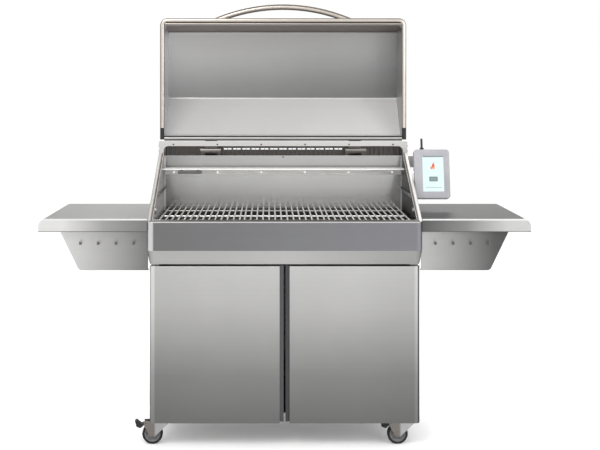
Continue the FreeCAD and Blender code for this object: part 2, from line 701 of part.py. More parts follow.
# Shelves ------------------------------------------------------------------------------------------
def shelf():
    """Right-hand side shelf: a pan turned upside down, rounded at its outer end."""
    def block(inset):
        low = SHELF_TOP - SHELF_LIP - 5 * (inset > 0)
        shape = box((BODY_HALF + inset, SHELF_END - inset), (SHELF_Y[0] + inset, SHELF_Y[1] - inset),
                    (low, SHELF_TOP - inset))
        return round_edges(shape, 30.0 - inset, (0, 1, 0), lambda x, y, z: x > 900 and z > 870)
    return block(0).cut(block(SHEET))


def shelf_brackets():
    """Tapered plates under both shelves, front and back, with a folded lower edge."""
    top, floor = 836.0, BRACKET_BOTTOM + PLATE
    outline = [(BODY_HALF, BRACKET_BOTTOM), (BRACKET_FOOT, BRACKET_BOTTOM), (BRACKET_HEAD, top),
               (BODY_HALF, top)]
    inner = [(BODY_HALF - 5, floor), (BRACKET_FOOT - 1.5, floor), (BRACKET_HEAD - 2, top + 1),
             (BODY_HALF - 5, top + 1)]

    def bracket(front, direction):
        face = sorted((front, front + direction * 30))
        plate = prism("y", outline, *face)
        plate = round_edges(plate, 20.0, (0, 1, 0), lambda x, y, z: z < 700 and x > 700)
        back = sorted((front + direction * PLATE, front + direction * 31))
        hollow = prism("y", inner, *back)
        hollow = round_edges(hollow, 18.0, (0, 1, 0), lambda x, y, z: z < 700 and x > 700)
        return plate.cut(hollow)
    return pair(group([bracket(57.0, 1), bracket(531.0, -1)]))


def tool_hooks():
    """Four small J hooks on each front bracket."""
    hooks = []
    z = 786.5
    for x in (588.0, 657.0, 726.0, 795.0):
        base = rod((x, 57, z), (x, 54.5, z), 5)
        stem = rod((x, 56, z), (x, 34, z), 2.5)
        tip = rod((x, 36, z - 2), (x, 36, z + 10), 2.5)
        hooks.append(join([base, stem, tip]))
    return pair(group(hooks))


# Controller ---------------------------------------------------------------------------------------
def place_case(shape):
    """Lean a piece of the controller back and put it beside the hood."""
    shape.rotate(vec(0, 0, 0), vec(1, 0, 0), -CASE_TILT)
    shape.translate(vec(*CASE_PLACE))
    return shape


def antenna_rod(low, high, radius):
    """A round bar on the antenna's hinge line, between two places either side of the antenna."""
    x, y, z = ANTENNA_AT
    return rod((x + low, y, z), (x + high, y, z), radius)


def controller_housing():
    body = box((-73, 73), (0, 32), (-102, 102))
    body = round_edges(body, 14.0, (0, 1, 0), lambda x, y, z: True)
    hollow = box((-70, 70), (6, 29), (-99, 99))
    hollow = round_edges(hollow, 11.0, (0, 1, 0), lambda x, y, z: True)
    recess = box(SCREEN_X, (-1, 4), SCREEN_Z)
    window = box((-36, 46), (-1, 10), (-70, 70))
    x, y, z = ANTENNA_AT
    ears = [box((x + a, x + b), (y - 4, y + 4), (101, z + 4)) for a, b in ((-9, -6.3), (6.3, 9))]
    ear_bore = antenna_rod(-10, 10, 2 + PIN_CLEARANCE)
    return place_case(join([body] + ears).cut(group([hollow, recess, window, ear_bore])))


def touchscreen():
    width, height = [(low + 0.3, high - 0.3) for low, high in (SCREEN_X, SCREEN_Z)]
    return place_case(box(width, (1, 4), height))


def antenna():
    """Stub aerial that folds down backwards."""
    x, y, z = ANTENNA_AT
    mast = rod((x, y, z), (x, y, 150), 4.5)
    return place_case(join([mast, antenna_rod(-6, 6, 5), antenna_rod(-9, 9, 2)]))


def controller_bracket():
    """A pad behind the controller, an arm to the rear and a plate fixed to the firebox side."""
    pad = place_case(box((-30, 30), (32, 35), (15, 65)))
    arm = box((595, 625), (341, 490), (1066, 1069))
    plate = box((BODY_HALF, 625), (488, 490), (1052, 1100))
    foot = box((BODY_HALF, BODY_HALF + 2.5), (440, 490), (1052, 1080))
    return join([pad, arm, plate, foot])


# Casters ------------------------------------------------------------------------------------------
def caster_plates():
    """Mounting plates under the cabinet, with the swivel pins of the front pair."""
    plates = []
    for x in (-CASTER_X, CASTER_X):
        front, rear = CASTER_Y
        plate = box((x - 36, x + 36), (front - 28, front + 34), (PLATE_BOTTOM, CABINET_BOTTOM))
        boss = rod((x, front, 100), (x, front, PLATE_BOTTOM), 18)
        pin = rod((x, front, 87), (x, front, PLATE_BOTTOM), 6)
        head = rod((x, front, 84.5), (x, front, 87.4), 9)
        plates.append(join([plate, boss, pin, head]))
        plates.append(box((x - 36, x + 36), (rear - 34, rear + 34), (PLATE_BOTTOM, CABINET_BOTTOM)))
    return group(plates)


def axle():
    """Axle bolt with a head at each end, about the wheel centre."""
    bolt = rod((0, -19, 0), (0, 19, 0), 4)
    heads = [rod((0, y, 0), (0, y + 3, 0), 7) for y in (-20, 17)]
    return join([bolt] + heads)


def fork_sides(outline):
    """Two side plates of a fork, either side of the wheel."""
    return [prism("y", outline, 14.5, 17), prism("y", outline, -17, -14.5)]


def swivel_fork():
    """Fork of a front caster about its swivel axis, with the wheel trailing to the left."""
    outline = [(-70, 91), (26, 91), (26, 82), (-27, 31), (-47, 31), (-70, 76)]
    sides = fork_sides(outline)
    crown = box((-48, 28), (-17, 17), (88, 91))
    race = rod((0, 0, 91), (0, 0, 99), 21)
    fork = join(sides + [crown, race])
    fork = fork.cut(rod((0, 0, 80), (0, 0, 105), 6 + PIN_CLEARANCE))
    fork = fork.cut(rod((-TRAIL, -30, WHEEL_R), (-TRAIL, 30, WHEEL_R), 4))
    fork = fork.cut(rod((PEDAL_X, -30, PEDAL_Z), (PEDAL_X, 30, PEDAL_Z), 2 + PIN_CLEARANCE))
    return group([fork, moved(axle(), x=-TRAIL, z=WHEEL_R)])


def brake_pedal():
    """Foot lever of a front caster, about the swivel axis."""
    outline = [(-57, 86), (-82, 79), (-99, 93), (-105.5, 91.5), (-99, 68), (-84, 62), (-66, 77), (-57, 79)]
    blade = prism("y", outline, -13, 13)
    pin = rod((PEDAL_X, -17, PEDAL_Z), (PEDAL_X, 17, PEDAL_Z), 2)
    barrel = rod((PEDAL_X, -13, PEDAL_Z), (PEDAL_X, 13, PEDAL_Z), 5)
    return join([blade, barrel, pin])


def rigid_fork():
    """Fork of a rear caster about its plate's middle; its wheel rolls front to back."""
    outline = [(-30, PLATE_BOTTOM), (30, PLATE_BOTTOM), (10, 31), (-10, 31)]
    crown = box((-30, 30), (-17, 17), (PLATE_BOTTOM - 3, PLATE_BOTTOM))
    fork = join(fork_sides(outline) + [crown])
    fork = fork.cut(rod((0, -30, WHEEL_R), (0, 30, WHEEL_R), 4))
    fork = group([fork, moved(axle(), z=WHEEL_R)])
    fork.rotate(vec(0, 0, 0), vec(0, 0, 1), 90)
    return fork


def rear_forks():
    fork = rigid_fork()
    return group([moved(fork, x, CASTER_Y[1]) for x in (-CASTER_X, CASTER_X)])


def hub():
    """Wheel centre with a dished web, about the wheel centre."""
    rim = tube((0, -10, 0), (0, 10, 0), 31, 27)
    web = rod((0, -4, 0), (0, 4, 0), 27.5)
    boss = rod((0, -13.8, 0), (0, 13.8, 0), 10)
    return join([rim, web, boss]).cut(rod((0, -20, 0), (0, 20, 0), 4 + PIN_CLEARANCE))


def tyre():
    ring = rod((0, -12, 0), (0, 12, 0), WHEEL_R)
    ring = ring.makeFillet(4.0, [edge for edge in ring.Edges if edge.Closed])
    return ring.cut(rod((0, -15, 0), (0, 15, 0), 31))


def front_wheel(shape, side):
    return moved(shape, side * CASTER_X - TRAIL, CASTER_Y[0], WHEEL_R)


def rear_wheel(shape, side):
    turned = shape.copy()
    turned.rotate(vec(0, 0, 0), vec(0, 0, 1), 90)
    return moved(turned, side * CASTER_X, CASTER_Y[1], WHEEL_R)


# Fasteners ----------------------------------------------------------------------------------------
def screw_head(at, direction, radius=4.0):
    """A low pan head that stands on a surface."""
    head = Part.makeCylinder(radius, 2.2, vec(*at), vec(*direction))
    rims = [edge for edge in head.Edges if edge.Closed]
    far = max(rims, key=lambda edge: (edge.CenterOfMass - vec(*at)).dot(vec(*direction)))
    return head.makeFillet(1.2, [far])


def panel_screws():
    """Visible screw heads; the shanks are left out."""
    columns = (-470.0, -282.0, -94.0, 94.0, 282.0, 470.0)
    frame_row = [screw_head((x, FRAME_Y - PLATE, 1149), (0, -1, 0), 3.5) for x in columns]
    ledge_row = [screw_head((x, CHAMBER_BACK - SHEET, 1028), (0, -1, 0), 4.5) for x in columns]
    centre = [screw_head((0, CHAMBER_BACK, 1093), (0, -1, 0), 3.5)]
    sides = [screw_head((side * BODY_HALF, 507, z), (side, 0, 0)) for side in (-1, 1) for z in (1121, 1143)]
    case = [place_case(screw_head((-73, 16, z), (-1, 0, 0))) for z in (-45, 10)]
    return group(frame_row + ledge_row + centre + sides + case)


# All nodes ----------------------------------------------------------------------------------------
def all_pieces():
    door = right_door()
    liner = door_liner()
    right_shelf = shelf()
    fork = swivel_fork()
    pedal = brake_pedal()
    pieces = {
        "firebox_shell": firebox_shell(),
        "firebox_liner": firebox_liner(),
        "rear_frame": rear_frame(),
        "vent_grille": vent_grille(),
        "rear_ledge": rear_ledge(),
        "rack_rails": rack_rails(),
        "probe_ports": probe_ports(),
        "temperature_probe": temperature_probe(),
        "heat_deflector": heat_deflector(),
        "drip_tray": drip_tray(),
        "burn_pot": burn_pot(),
        "igniter": igniter(),
        "grate_left": grate(-1.5 * GRATE_WIDTH - 1, -0.5 * GRATE_WIDTH - 1),
        "grate_middle": grate(-0.5 * GRATE_WIDTH, 0.5 * GRATE_WIDTH),
        "grate_right": grate(0.5 * GRATE_WIDTH + 1, 1.5 * GRATE_WIDTH + 1),
        "hopper": hopper(),
        "hopper_lid": hopper_lid(),
        "auger_tube": auger_tube(),
        "auger_screw": auger_screw(),
        "auger_motor": auger_motor(),
        "blower_housing": blower_housing(),
        "blower_rotor": blower_rotor(),
        "power_inlet": power_inlet(),
        "hood_shell": hood_shell(),
        "hood_liner": hood_liner(),
        "hood_rim": hood_rim(),
        "rim_end_caps": rim_end_caps(),
        "hood_handle": hood_handle(),
        "hood_hinge_arms": hood_hinge_arms(),
        "hood_hinge_brackets": hood_hinge_brackets(),
        "hinge_pins": hinge_pins(),
        "cabinet_sides": cabinet_sides(),
        "cabinet_floor": cabinet_floor(),
        "cabinet_back": cabinet_back(),
        "door_hinge_leaves": door_hinge_leaves(),
        "door_right": door,
        "door_left": mirrored(door),
        "door_liner_right": liner,
        "door_liner_left": mirrored(liner),
        "shelf_right": right_shelf,
        "shelf_left": mirrored(right_shelf),
        "shelf_brackets": shelf_brackets(),
        "tool_hooks": tool_hooks(),
        "controller_housing": controller_housing(),
        "touchscreen": touchscreen(),
        "antenna": antenna(),
        "controller_bracket": controller_bracket(),
        "caster_plates": caster_plates(),
        "rear_forks": rear_forks(),
        "panel_screws": panel_screws(),
    }
    for name, side in (("left", -1), ("right", 1)):
        pieces["fork_front_" + name] = moved(fork, side * CASTER_X, CASTER_Y[0])
        pieces["brake_pedal_" + name] = moved(pedal, side * CASTER_X, CASTER_Y[0])
        pieces["wheel_hub_front_" + name] = front_wheel(hub(), side)
        pieces["tyre_front_" + name] = front_wheel(tyre(), side)
        pieces["wheel_rear_" + name] = group([rear_wheel(hub(), side), rear_wheel(tyre(), side)])
    return pieces


def main():
    os.makedirs("parts", exist_ok=True)
    for name, shape in all_pieces().items():
        shape = moved(shape, y=-DEPTH / 2)
        shape.exportStep("parts/" + name + ".step")


main()
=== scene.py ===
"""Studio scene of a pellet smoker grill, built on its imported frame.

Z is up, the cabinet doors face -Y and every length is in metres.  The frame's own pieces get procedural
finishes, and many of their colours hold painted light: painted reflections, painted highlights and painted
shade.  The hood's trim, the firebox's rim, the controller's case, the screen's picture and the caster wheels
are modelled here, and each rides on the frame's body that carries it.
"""
import json
import math

import bpy
from mathutils import Matrix, Vector

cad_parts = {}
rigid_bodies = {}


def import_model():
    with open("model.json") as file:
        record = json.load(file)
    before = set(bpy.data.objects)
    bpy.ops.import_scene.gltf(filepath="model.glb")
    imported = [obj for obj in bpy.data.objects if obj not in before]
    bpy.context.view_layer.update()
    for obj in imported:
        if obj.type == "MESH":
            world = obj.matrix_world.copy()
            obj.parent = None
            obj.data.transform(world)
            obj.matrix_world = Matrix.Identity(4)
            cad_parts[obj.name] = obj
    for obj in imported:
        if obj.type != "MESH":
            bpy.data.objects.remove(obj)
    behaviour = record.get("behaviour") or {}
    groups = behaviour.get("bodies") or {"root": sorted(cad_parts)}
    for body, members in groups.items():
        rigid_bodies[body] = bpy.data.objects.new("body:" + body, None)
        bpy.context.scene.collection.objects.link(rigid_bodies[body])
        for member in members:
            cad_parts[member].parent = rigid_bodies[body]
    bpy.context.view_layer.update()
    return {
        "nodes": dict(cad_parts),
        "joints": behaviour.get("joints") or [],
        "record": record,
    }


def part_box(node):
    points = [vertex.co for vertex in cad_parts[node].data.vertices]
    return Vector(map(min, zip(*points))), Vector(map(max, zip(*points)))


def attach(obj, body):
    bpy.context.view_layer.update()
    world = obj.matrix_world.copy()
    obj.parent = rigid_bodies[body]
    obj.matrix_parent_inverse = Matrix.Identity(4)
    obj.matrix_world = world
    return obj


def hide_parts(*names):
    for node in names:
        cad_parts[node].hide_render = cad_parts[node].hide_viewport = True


for leftover in list(bpy.data.objects):
    bpy.data.objects.remove(leftover)

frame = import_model()
NODES = frame["nodes"]

SIDES = {"left": -1, "right": 1}

# Places taken from the frame -----------------------------------------------------------------------
DOOR_LOW, DOOR_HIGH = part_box("door_right")
SHELL_LOW, SHELL_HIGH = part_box("firebox_shell")
LINER_LOW, LINER_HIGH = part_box("firebox_liner")
RIM_LOW, RIM_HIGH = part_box("hood_rim")
CAP_LOW, CAP_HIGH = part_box("rim_end_caps")
SHELF_LOW, SHELF_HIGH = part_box("shelf_right")
GRATE_LOW, GRATE_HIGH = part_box("grate_left")
LEDGE_LOW, LEDGE_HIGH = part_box("rear_ledge")

BAND_TOP = 0.7655             # fold line between the front panel and the band that leans in
RIM_WIDTH = 0.0185            # trim tube round the hood
HOOD_CORNER = 0.032           # outer radius of the hood's top corners
CASE_TILT = math.radians(13)  # the controller leans back
AERIAL_IN_CASE = (-0.037, 0.022, 0.108)   # the aerial's hinge, from the middle of the case's front
CASE_LOW, CASE_HIGH = (-0.073, -0.102), (0.073, 0.102)
CASE_DEPTH = 0.032
CASE_CORNER = 0.014
GLASS_LOW, GLASS_HIGH = (-0.0385, -0.073), (0.0485, 0.073)
BODY_CORNER = 0.020
PULL_EDGE = 0.0193            # the doors step back to their finger pulls inside this
MOUTH_WIDTH = 0.0185          # trim along the firebox's rim
LIP_Z = 0.874                 # the firebox's rim slopes up from here
SLOPE = math.radians(25.6)
FORK_TOP = 0.099              # top of the front casters' forks


# Meshes --------------------------------------------------------------------------------------------
def new_object(name, vertices, faces, material, body, smooth=40):
    """A mesh piece that rides on a body, smooth except where its faces meet at more than an angle."""
    mesh = bpy.data.meshes.new(name)
    mesh.from_pydata([tuple(v) for v in vertices], [], faces)
    mesh.validate()
    mesh.update()
    mesh.shade_smooth()
    mesh.set_sharp_from_angle(angle=math.radians(smooth))
    mesh.materials.append(material)
    obj = bpy.data.objects.new(name, mesh)
    bpy.context.scene.collection.objects.link(obj)
    if body:
        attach(obj, body)
    return obj


def loft(loops, closed=True, caps=True):
    """Vertices and faces that join loops of equal length, one after another."""
    count = len(loops[0])
    vertices = [point for loop in loops for point in loop]
    faces = []
    steps = count if closed else count - 1
    for ring in range(len(loops) - 1):
        for step in range(steps):
            after = (step + 1) % count
            a, b = ring * count + step, ring * count + after
            faces.append((a, b, b + count, a + count))
    if caps:
        faces.append(tuple(reversed(range(count))))
        faces.append(tuple(range((len(loops) - 1) * count, len(loops) * count)))
    return vertices, faces


def merged(parts):
    """Several (vertices, faces) pairs as one."""
    vertices, faces = [], []
    for more_vertices, more_faces in parts:
        start = len(vertices)
        vertices += list(more_vertices)
        faces += [tuple(start + index for index in face) for face in more_faces]
    return vertices, faces


def arc(centre, radius, start, end, steps):
    """Points on a circle, from one angle to another in degrees."""
    points = []
    for step in range(steps + 1):
        angle = math.radians(start + (end - start) * step / steps)
        points.append((centre[0] + radius * math.cos(angle), centre[1] + radius * math.sin(angle)))
    return points


def rounded_rectangle(low, high, radius, steps=8):
    corners = [((high[0] - radius, high[1] - radius), 0), ((low[0] + radius, high[1] - radius), 90),
               ((low[0] + radius, low[1] + radius), 180), ((high[0] - radius, low[1] + radius), 270)]
    points = []
    for centre, start in corners:
        points += arc(centre, radius, start, start + 90, steps)
    return points


def lathe(profile, axis, centre, steps=72):
    """Turns a closed profile of (distance along the axis, radius) about an axis."""
    loops = []
    for along, radius in profile:
        loop = []
        for step in range(steps):
            angle = 2 * math.pi * step / steps
            across, up = radius * math.cos(angle), radius * math.sin(angle)
            offset = Vector((along, across, up)) if axis == "x" else Vector((across, along, up))
            loop.append(Vector(centre) + offset)
        loops.append(loop)
    return loft(loops + loops[:1], caps=False)


# Shaders -------------------------------------------------------------------------------------------
class Shader:
    """A material being put together; each method returns an output to plug into the next."""

    def __init__(self, name):
        self.material = bpy.data.materials.new(name)
        self.material.use_nodes = True
        self.tree = self.material.node_tree
        self.tree.nodes.clear()
        output = self.tree.nodes.new("ShaderNodeOutputMaterial")
        self.surface = self.add("BsdfPrincipled")
        self.tree.links.new(self.surface.outputs[0], output.inputs["Surface"])
        self.place = self.add("TexCoord").outputs["Object"]

    def add(self, kind, inputs=None, **settings):
        node = self.tree.nodes.new("ShaderNode" + kind)
        for key, value in settings.items():
            setattr(node, key, value)
        for key, value in (inputs or {}).items():
            self.plug(node.inputs[key], value)
        return node

    def plug(self, socket, value):
        if isinstance(value, bpy.types.NodeSocket):
            self.tree.links.new(value, socket)
        else:
            socket.default_value = value

    def math(self, operation, a, b=0.0, clamp=False):
        return self.add("Math", {0: a, 1: b}, operation=operation, use_clamp=clamp).outputs[0]

    def fit(self, value, low, high, to_low=0.0, to_high=1.0):
        """Value from low..high to to_low..to_high, held at both ends."""
        names = {"Value": value, "From Min": low, "From Max": high, "To Min": to_low, "To Max": to_high}
        return self.add("MapRange", names).outputs["Result"]

    def mix(self, factor, a, b, blend="MIX"):
        node = self.add("Mix", data_type="RGBA", blend_type=blend)
        self.plug(node.inputs[0], factor)
        self.plug(node.inputs[6], a)
        self.plug(node.inputs[7], b)
        return node.outputs[2]

    def mix_number(self, factor, a, b):
        node = self.add("Mix", data_type="FLOAT")
        self.plug(node.inputs[0], factor)
        self.plug(node.inputs[2], a)
        self.plug(node.inputs[3], b)
        return node.outputs[0]

    def noise(self, scale, detail=3.0, roughness=0.6, seed=0.0):
        """Noise with its own scale along X, Y and Z, in cycles per metre."""
        shift = (seed, 2 * seed, 3 * seed)
        moved = self.add("VectorMath", {0: self.place, 1: shift}, operation="ADD").outputs[0]
        stretched = self.add("VectorMath", {0: moved, 1: scale}, operation="MULTIPLY").outputs[0]
        names = {"Vector": stretched, "Scale": 1.0, "Detail": detail, "Roughness": roughness}
        return self.add("TexNoise", names).outputs["Fac"]

    def split(self, vector):
        return self.add("SeparateXYZ", {0: vector}).outputs

    def facing(self):
        """The surface's own direction, in the piece's rest axes."""
        return self.split(self.add("TexCoord").outputs["Normal"])

    def ramp(self, value, stops):
        """A colour that runs through (value, grey or colour) stops."""
        low, high = stops[0][0], stops[-1][0]
        node = self.add("ValToRGB", {"Fac": self.fit(value, low, high)})
        elements = node.color_ramp.elements
        while len(elements) < len(stops):
            elements.new(0.5)
        for element, (at, tone) in zip(elements, stops):
            element.position = (at - low) / (high - low)
            element.color = colour(tone)
        return node.outputs["Color"]

    def soft_edges(self, radius):
        """A normal that rounds every edge, and how near the surface is to an edge."""
        rounded = self.add("Bevel", {"Radius": radius}, samples=4).outputs["Normal"]
        true = self.add("NewGeometry").outputs["Normal"]
        agree = self.add("VectorMath", {0: rounded, 1: true}, operation="DOT_PRODUCT").outputs["Value"]
        return rounded, self.fit(agree, 0.98, 0.8)


def colour(tone):
    """A grey number or an (r, g, b) as a colour with alpha."""
    if isinstance(tone, (int, float)):
        tone = (tone, tone, tone)
    return (*tone, 1.0)


def brushed(name, tone, rough=0.3, streak=0.02, smudge=0.03, edge_shading=0.25, edge=0.0012, tint=(1.0, 0.995, 0.985),
            bump=0.012, metallic=1.0, grazing=0.8, painted_glow=None, edge_tone=0.92):
    """Brushed sheet steel.

    Tone is a grey, a colour or a function that takes the shader and returns one, and rough and metallic are
    numbers or such functions.  Grazing is how bright the steel is along the surface.  The glow function gives
    extra emitted light, a painted highlight on parts that are no lamps.  Edge is the radius of the soft edges,
    whose colour is pulled towards the edge tone: a painted highlight where that tone is light and painted
    shade where it is dark.
    """
    shader = Shader(name)
    base = tone(shader) if callable(tone) else colour(tone)
    side = shader.math("GREATER_THAN", shader.math("ABSOLUTE", shader.facing()[0]), 0.7)
    along_x = shader.noise((1.2, 300.0, 300.0), detail=2.0)
    along_y = shader.noise((300.0, 1.2, 300.0), detail=2.0)
    lines = shader.mix_number(side, along_x, along_y)
    broad = shader.noise((3.0, 3.0, 3.0), detail=4.0, seed=1.7)
    fine = shader.noise((22.0, 22.0, 22.0), detail=4.0, seed=4.1)
    rounded, near_edge = shader.soft_edges(edge)
    change = shader.math("ADD", shader.fit(lines, 0.3, 0.7, -streak, streak),
                         shader.fit(broad, 0.3, 0.7, -smudge, smudge))
    gain = shader.math("ADD", change, 1.0)
    steel_colour = shader.mix(1.0, base, colour(tint), "MULTIPLY")
    scaled = shader.add("VectorMath", {0: steel_colour, "Scale": gain}, operation="SCALE").outputs[0]
    # Painted highlight or painted shade on the soft edges, pulled towards the edge tone.
    edge_shaded = shader.mix(shader.math("MULTIPLY", near_edge, edge_shading), scaled, colour(edge_tone))
    uneven = shader.math("ADD", shader.fit(fine, 0.3, 0.7, -0.015, 0.025),
                         shader.fit(lines, 0.3, 0.7, -0.02, 0.02))
    roughness = shader.math("ADD", uneven, rough(shader) if callable(rough) else rough)
    raised = shader.add("Bump", {"Height": lines, "Strength": bump, "Distance": 0.0004, "Normal": rounded})
    shader.plug(shader.surface.inputs["Base Color"], edge_shaded)
    shader.plug(shader.surface.inputs["Metallic"], metallic(shader) if callable(metallic) else metallic)
    shader.plug(shader.surface.inputs["Roughness"], roughness)
    shader.plug(shader.surface.inputs["Specular Tint"], colour(grazing))
    shader.plug(shader.surface.inputs["Normal"], raised.outputs["Normal"])
    # Painted highlight: emitted light on a part that is no lamp.
    if painted_glow:
        shader.plug(shader.surface.inputs["Emission Color"], colour(1.0))
        shader.plug(shader.surface.inputs["Emission Strength"], painted_glow(shader))
    return shader.material


def moulded(name, tone, rough=0.5, grain=900.0, bump=0.08, edge=0.0015, coat=0.0, edge_shading=0.08):
    """Plastic, rubber or paint with a fine grain, its soft edges painted towards a mid grey: painted highlight
    on dark pieces and painted shade on light ones.
    """
    shader = Shader(name)
    speckle = shader.noise((grain, grain, grain), detail=2.0)
    cloud = shader.noise((14.0, 14.0, 14.0), detail=4.0, seed=2.3)
    rounded, near_edge = shader.soft_edges(edge)
    gain = shader.fit(cloud, 0.3, 0.7, 0.92, 1.08)
    base = shader.add("VectorMath", {0: colour(tone)[:3], "Scale": gain}, operation="SCALE").outputs[0]
    # Painted highlight or painted shade on the soft edges, towards a mid grey.
    edge_shaded = shader.mix(shader.math("MULTIPLY", near_edge, edge_shading), base, colour(0.6))
    raised = shader.add("Bump", {"Height": speckle, "Strength": bump, "Distance": 0.0003, "Normal": rounded})
    shader.plug(shader.surface.inputs["Base Color"], edge_shaded)
    shader.plug(shader.surface.inputs["Roughness"], shader.fit(cloud, 0.3, 0.7, rough - 0.05, rough + 0.08))
    shader.plug(shader.surface.inputs["Coat Weight"], coat)
    shader.plug(shader.surface.inputs["Normal"], raised.outputs["Normal"])
    return shader.material


# Tones ---------------------------------------------------------------------------------------------
def door_tone(shader):
    """Doors in painted reflection: light at the top, darkening towards the floor and a little towards their
    outer edges, with painted highlights on their rounded outer corners, painted shade in the recessed pulls and
    a painted shadow between the doors.
    """
    x, _, z = shader.split(shader.place)
    low, tall = DOOR_LOW.z, DOOR_HIGH.z - DOOR_LOW.z
    # Painted reflection: light at the top, darkening towards the floor.
    stops = [(low + tall * at, tone) for at, tone in
             ((0.0, 0.21), (0.12, 0.232), (0.3, 0.275), (0.52, 0.4), (0.76, 0.54), (1.0, 0.61))]
    up = shader.ramp(z, stops)
    # Painted reflection: a little darker towards the outer edges.
    outward = shader.fit(shader.math("ABSOLUTE", x), 0.3, 0.5, 1.0, 0.92)
    flat = shader.add("VectorMath", {0: up, "Scale": outward}, operation="SCALE").outputs[0]
    edge = DOOR_HIGH.x
    # Painted shade at each outer edge, and a painted highlight on the rounded corner beside it.
    left = shader.ramp(x, [(-edge, 0.25), (0.003 - edge, 0.3), (0.006 - edge, 1.4), (0.018 - edge, 1.4),
                           (0.025 - edge, 1.0)])
    right = shader.ramp(x, [(edge - 0.026, 1.0), (edge - 0.016, 1.25), (edge - 0.0105, 1.2),
                            (edge - 0.0075, 0.3), (edge, 0.2)])
    lit = shader.mix(1.0, flat, shader.mix(1.0, left, right, "MULTIPLY"), "MULTIPLY")
    # Painted shade in the recessed finger pulls, and a painted shadow in the gap between the doors.
    in_pull = shader.math("LESS_THAN", shader.math("ABSOLUTE", x), PULL_EDGE)
    pull_and_gap_shade = shader.ramp(x, [(-0.0045, (0.13, 0.13, 0.135)), (-0.0035, 0.02), (0.0035, 0.02),
                           (0.0045, (0.092, 0.092, 0.096))])
    return shader.mix(in_pull, lit, pull_and_gap_shade)


def shell_tone(shader):
    """Firebox: a dark blue-grey front panel with a painted highlight down its left corner, over a band
    lightened as a painted reflection; painted reflection gradients across the panel and up the sides, and
    painted shade along the top.
    """
    x, _, z = shader.split(shader.place)
    _, facing_y, facing_z = shader.facing()
    edge = SHELL_HIGH.x
    # Painted reflection: the front panel lightens from left to right, and the band under it is lighter.
    panel = shader.ramp(x, [(-0.53, (0.205, 0.206, 0.21)), (0.0, (0.245, 0.247, 0.26)),
                            (0.53, (0.268, 0.27, 0.294))])
    band = shader.ramp(x, [(-0.53, 0.53), (0.0, 0.6), (0.53, 0.43)])
    front = shader.mix(shader.math("LESS_THAN", z, BAND_TOP), panel, band)
    # Painted reflection: the sides lighten upwards.
    side = shader.ramp(z, [(SHELL_LOW.z, 0.38), (0.9, 0.5), (SHELL_HIGH.z, 0.58)])
    is_front = shader.fit(facing_y, -0.05, -0.3)
    # Painted highlight down the rounded front corners with painted shade at their very edges; the band darkens
    # towards its ends as painted shade.
    left = shader.ramp(x, [(-edge, 0.45), (0.005 - edge, 3.6), (0.022 - edge, 3.2), (0.027 - edge, 1.0)])
    right = shader.ramp(x, [(edge - 0.025, 1.0), (edge - 0.017, 1.12), (edge - 0.004, 1.12), (edge, 0.5)])
    panel_corner_highlight = shader.mix(1.0, left, right, "MULTIPLY")
    band_end_shade = shader.ramp(shader.math("ABSOLUTE", x), [(edge - 0.026, 1.0), (edge - 0.004, 0.6), (edge, 0.3)])
    gain = shader.mix(shader.math("LESS_THAN", z, BAND_TOP), panel_corner_highlight, band_end_shade)
    front = shader.mix(1.0, front, gain, "MULTIPLY")
    # Painted shade: top faces turn near black along their upper edge, under the hood.
    is_top = shader.math("GREATER_THAN", facing_z, 0.5)
    top = shader.ramp(z, [(SHELL_HIGH.z - 0.02, 0.8), (SHELL_HIGH.z - 0.005, 0.04)])
    return shader.mix(is_top, shader.mix(is_front, side, front), top)


def chamber_tone(shader):
    """Chamber: a mid-grey back wall in painted light, with painted shade in lines along the ledge and painted
    highlights in its corners, and side walls darkened as painted shade.
    """
    x, _, z = shader.split(shader.place)
    # Painted light: the back wall darkens to the left and lightens upwards, with painted shade in lines just
    # above and below the ledge.
    back = shader.ramp(x, [(-0.511, 0.41), (-0.36, 0.57), (0.0, 0.64), (0.511, 0.61)])
    ledge = LEDGE_HIGH.z
    height = shader.ramp(z, [(LINER_LOW.z, 0.72), (0.95, 0.84), (1.0, 1.1), (ledge - 0.016, 1.1),
                             (ledge - 0.014, 0.5), (ledge + 0.007, 0.5), (ledge + 0.012, 0.73), (1.1, 0.75)])
    back = shader.mix(1.0, back, height, "MULTIPLY")
    # Painted highlight: a light line down each back corner.
    in_corner = shader.math("GREATER_THAN", shader.math("ABSOLUTE", x), LINER_HIGH.x - 0.0065)
    back = shader.mix(in_corner, back, colour(0.85))
    # Painted shade: the side walls are darker, the right one near black.
    sides = shader.ramp(x, [(-0.512, 0.37), (0.0, 0.3), (0.512, 0.0)])
    return shader.mix(on_chamber_side(shader), back, sides)


def on_chamber_side(shader):
    return shader.math("GREATER_THAN", shader.math("ABSOLUTE", shader.facing()[0]), 0.7)


def chamber_metal(shader):
    """The side walls are duller than the back wall, which mirrors the grates."""
    return shader.mix_number(on_chamber_side(shader), 0.7, 0.15)


def chamber_rough(shader):
    return shader.mix_number(on_chamber_side(shader), 0.12, 0.4)


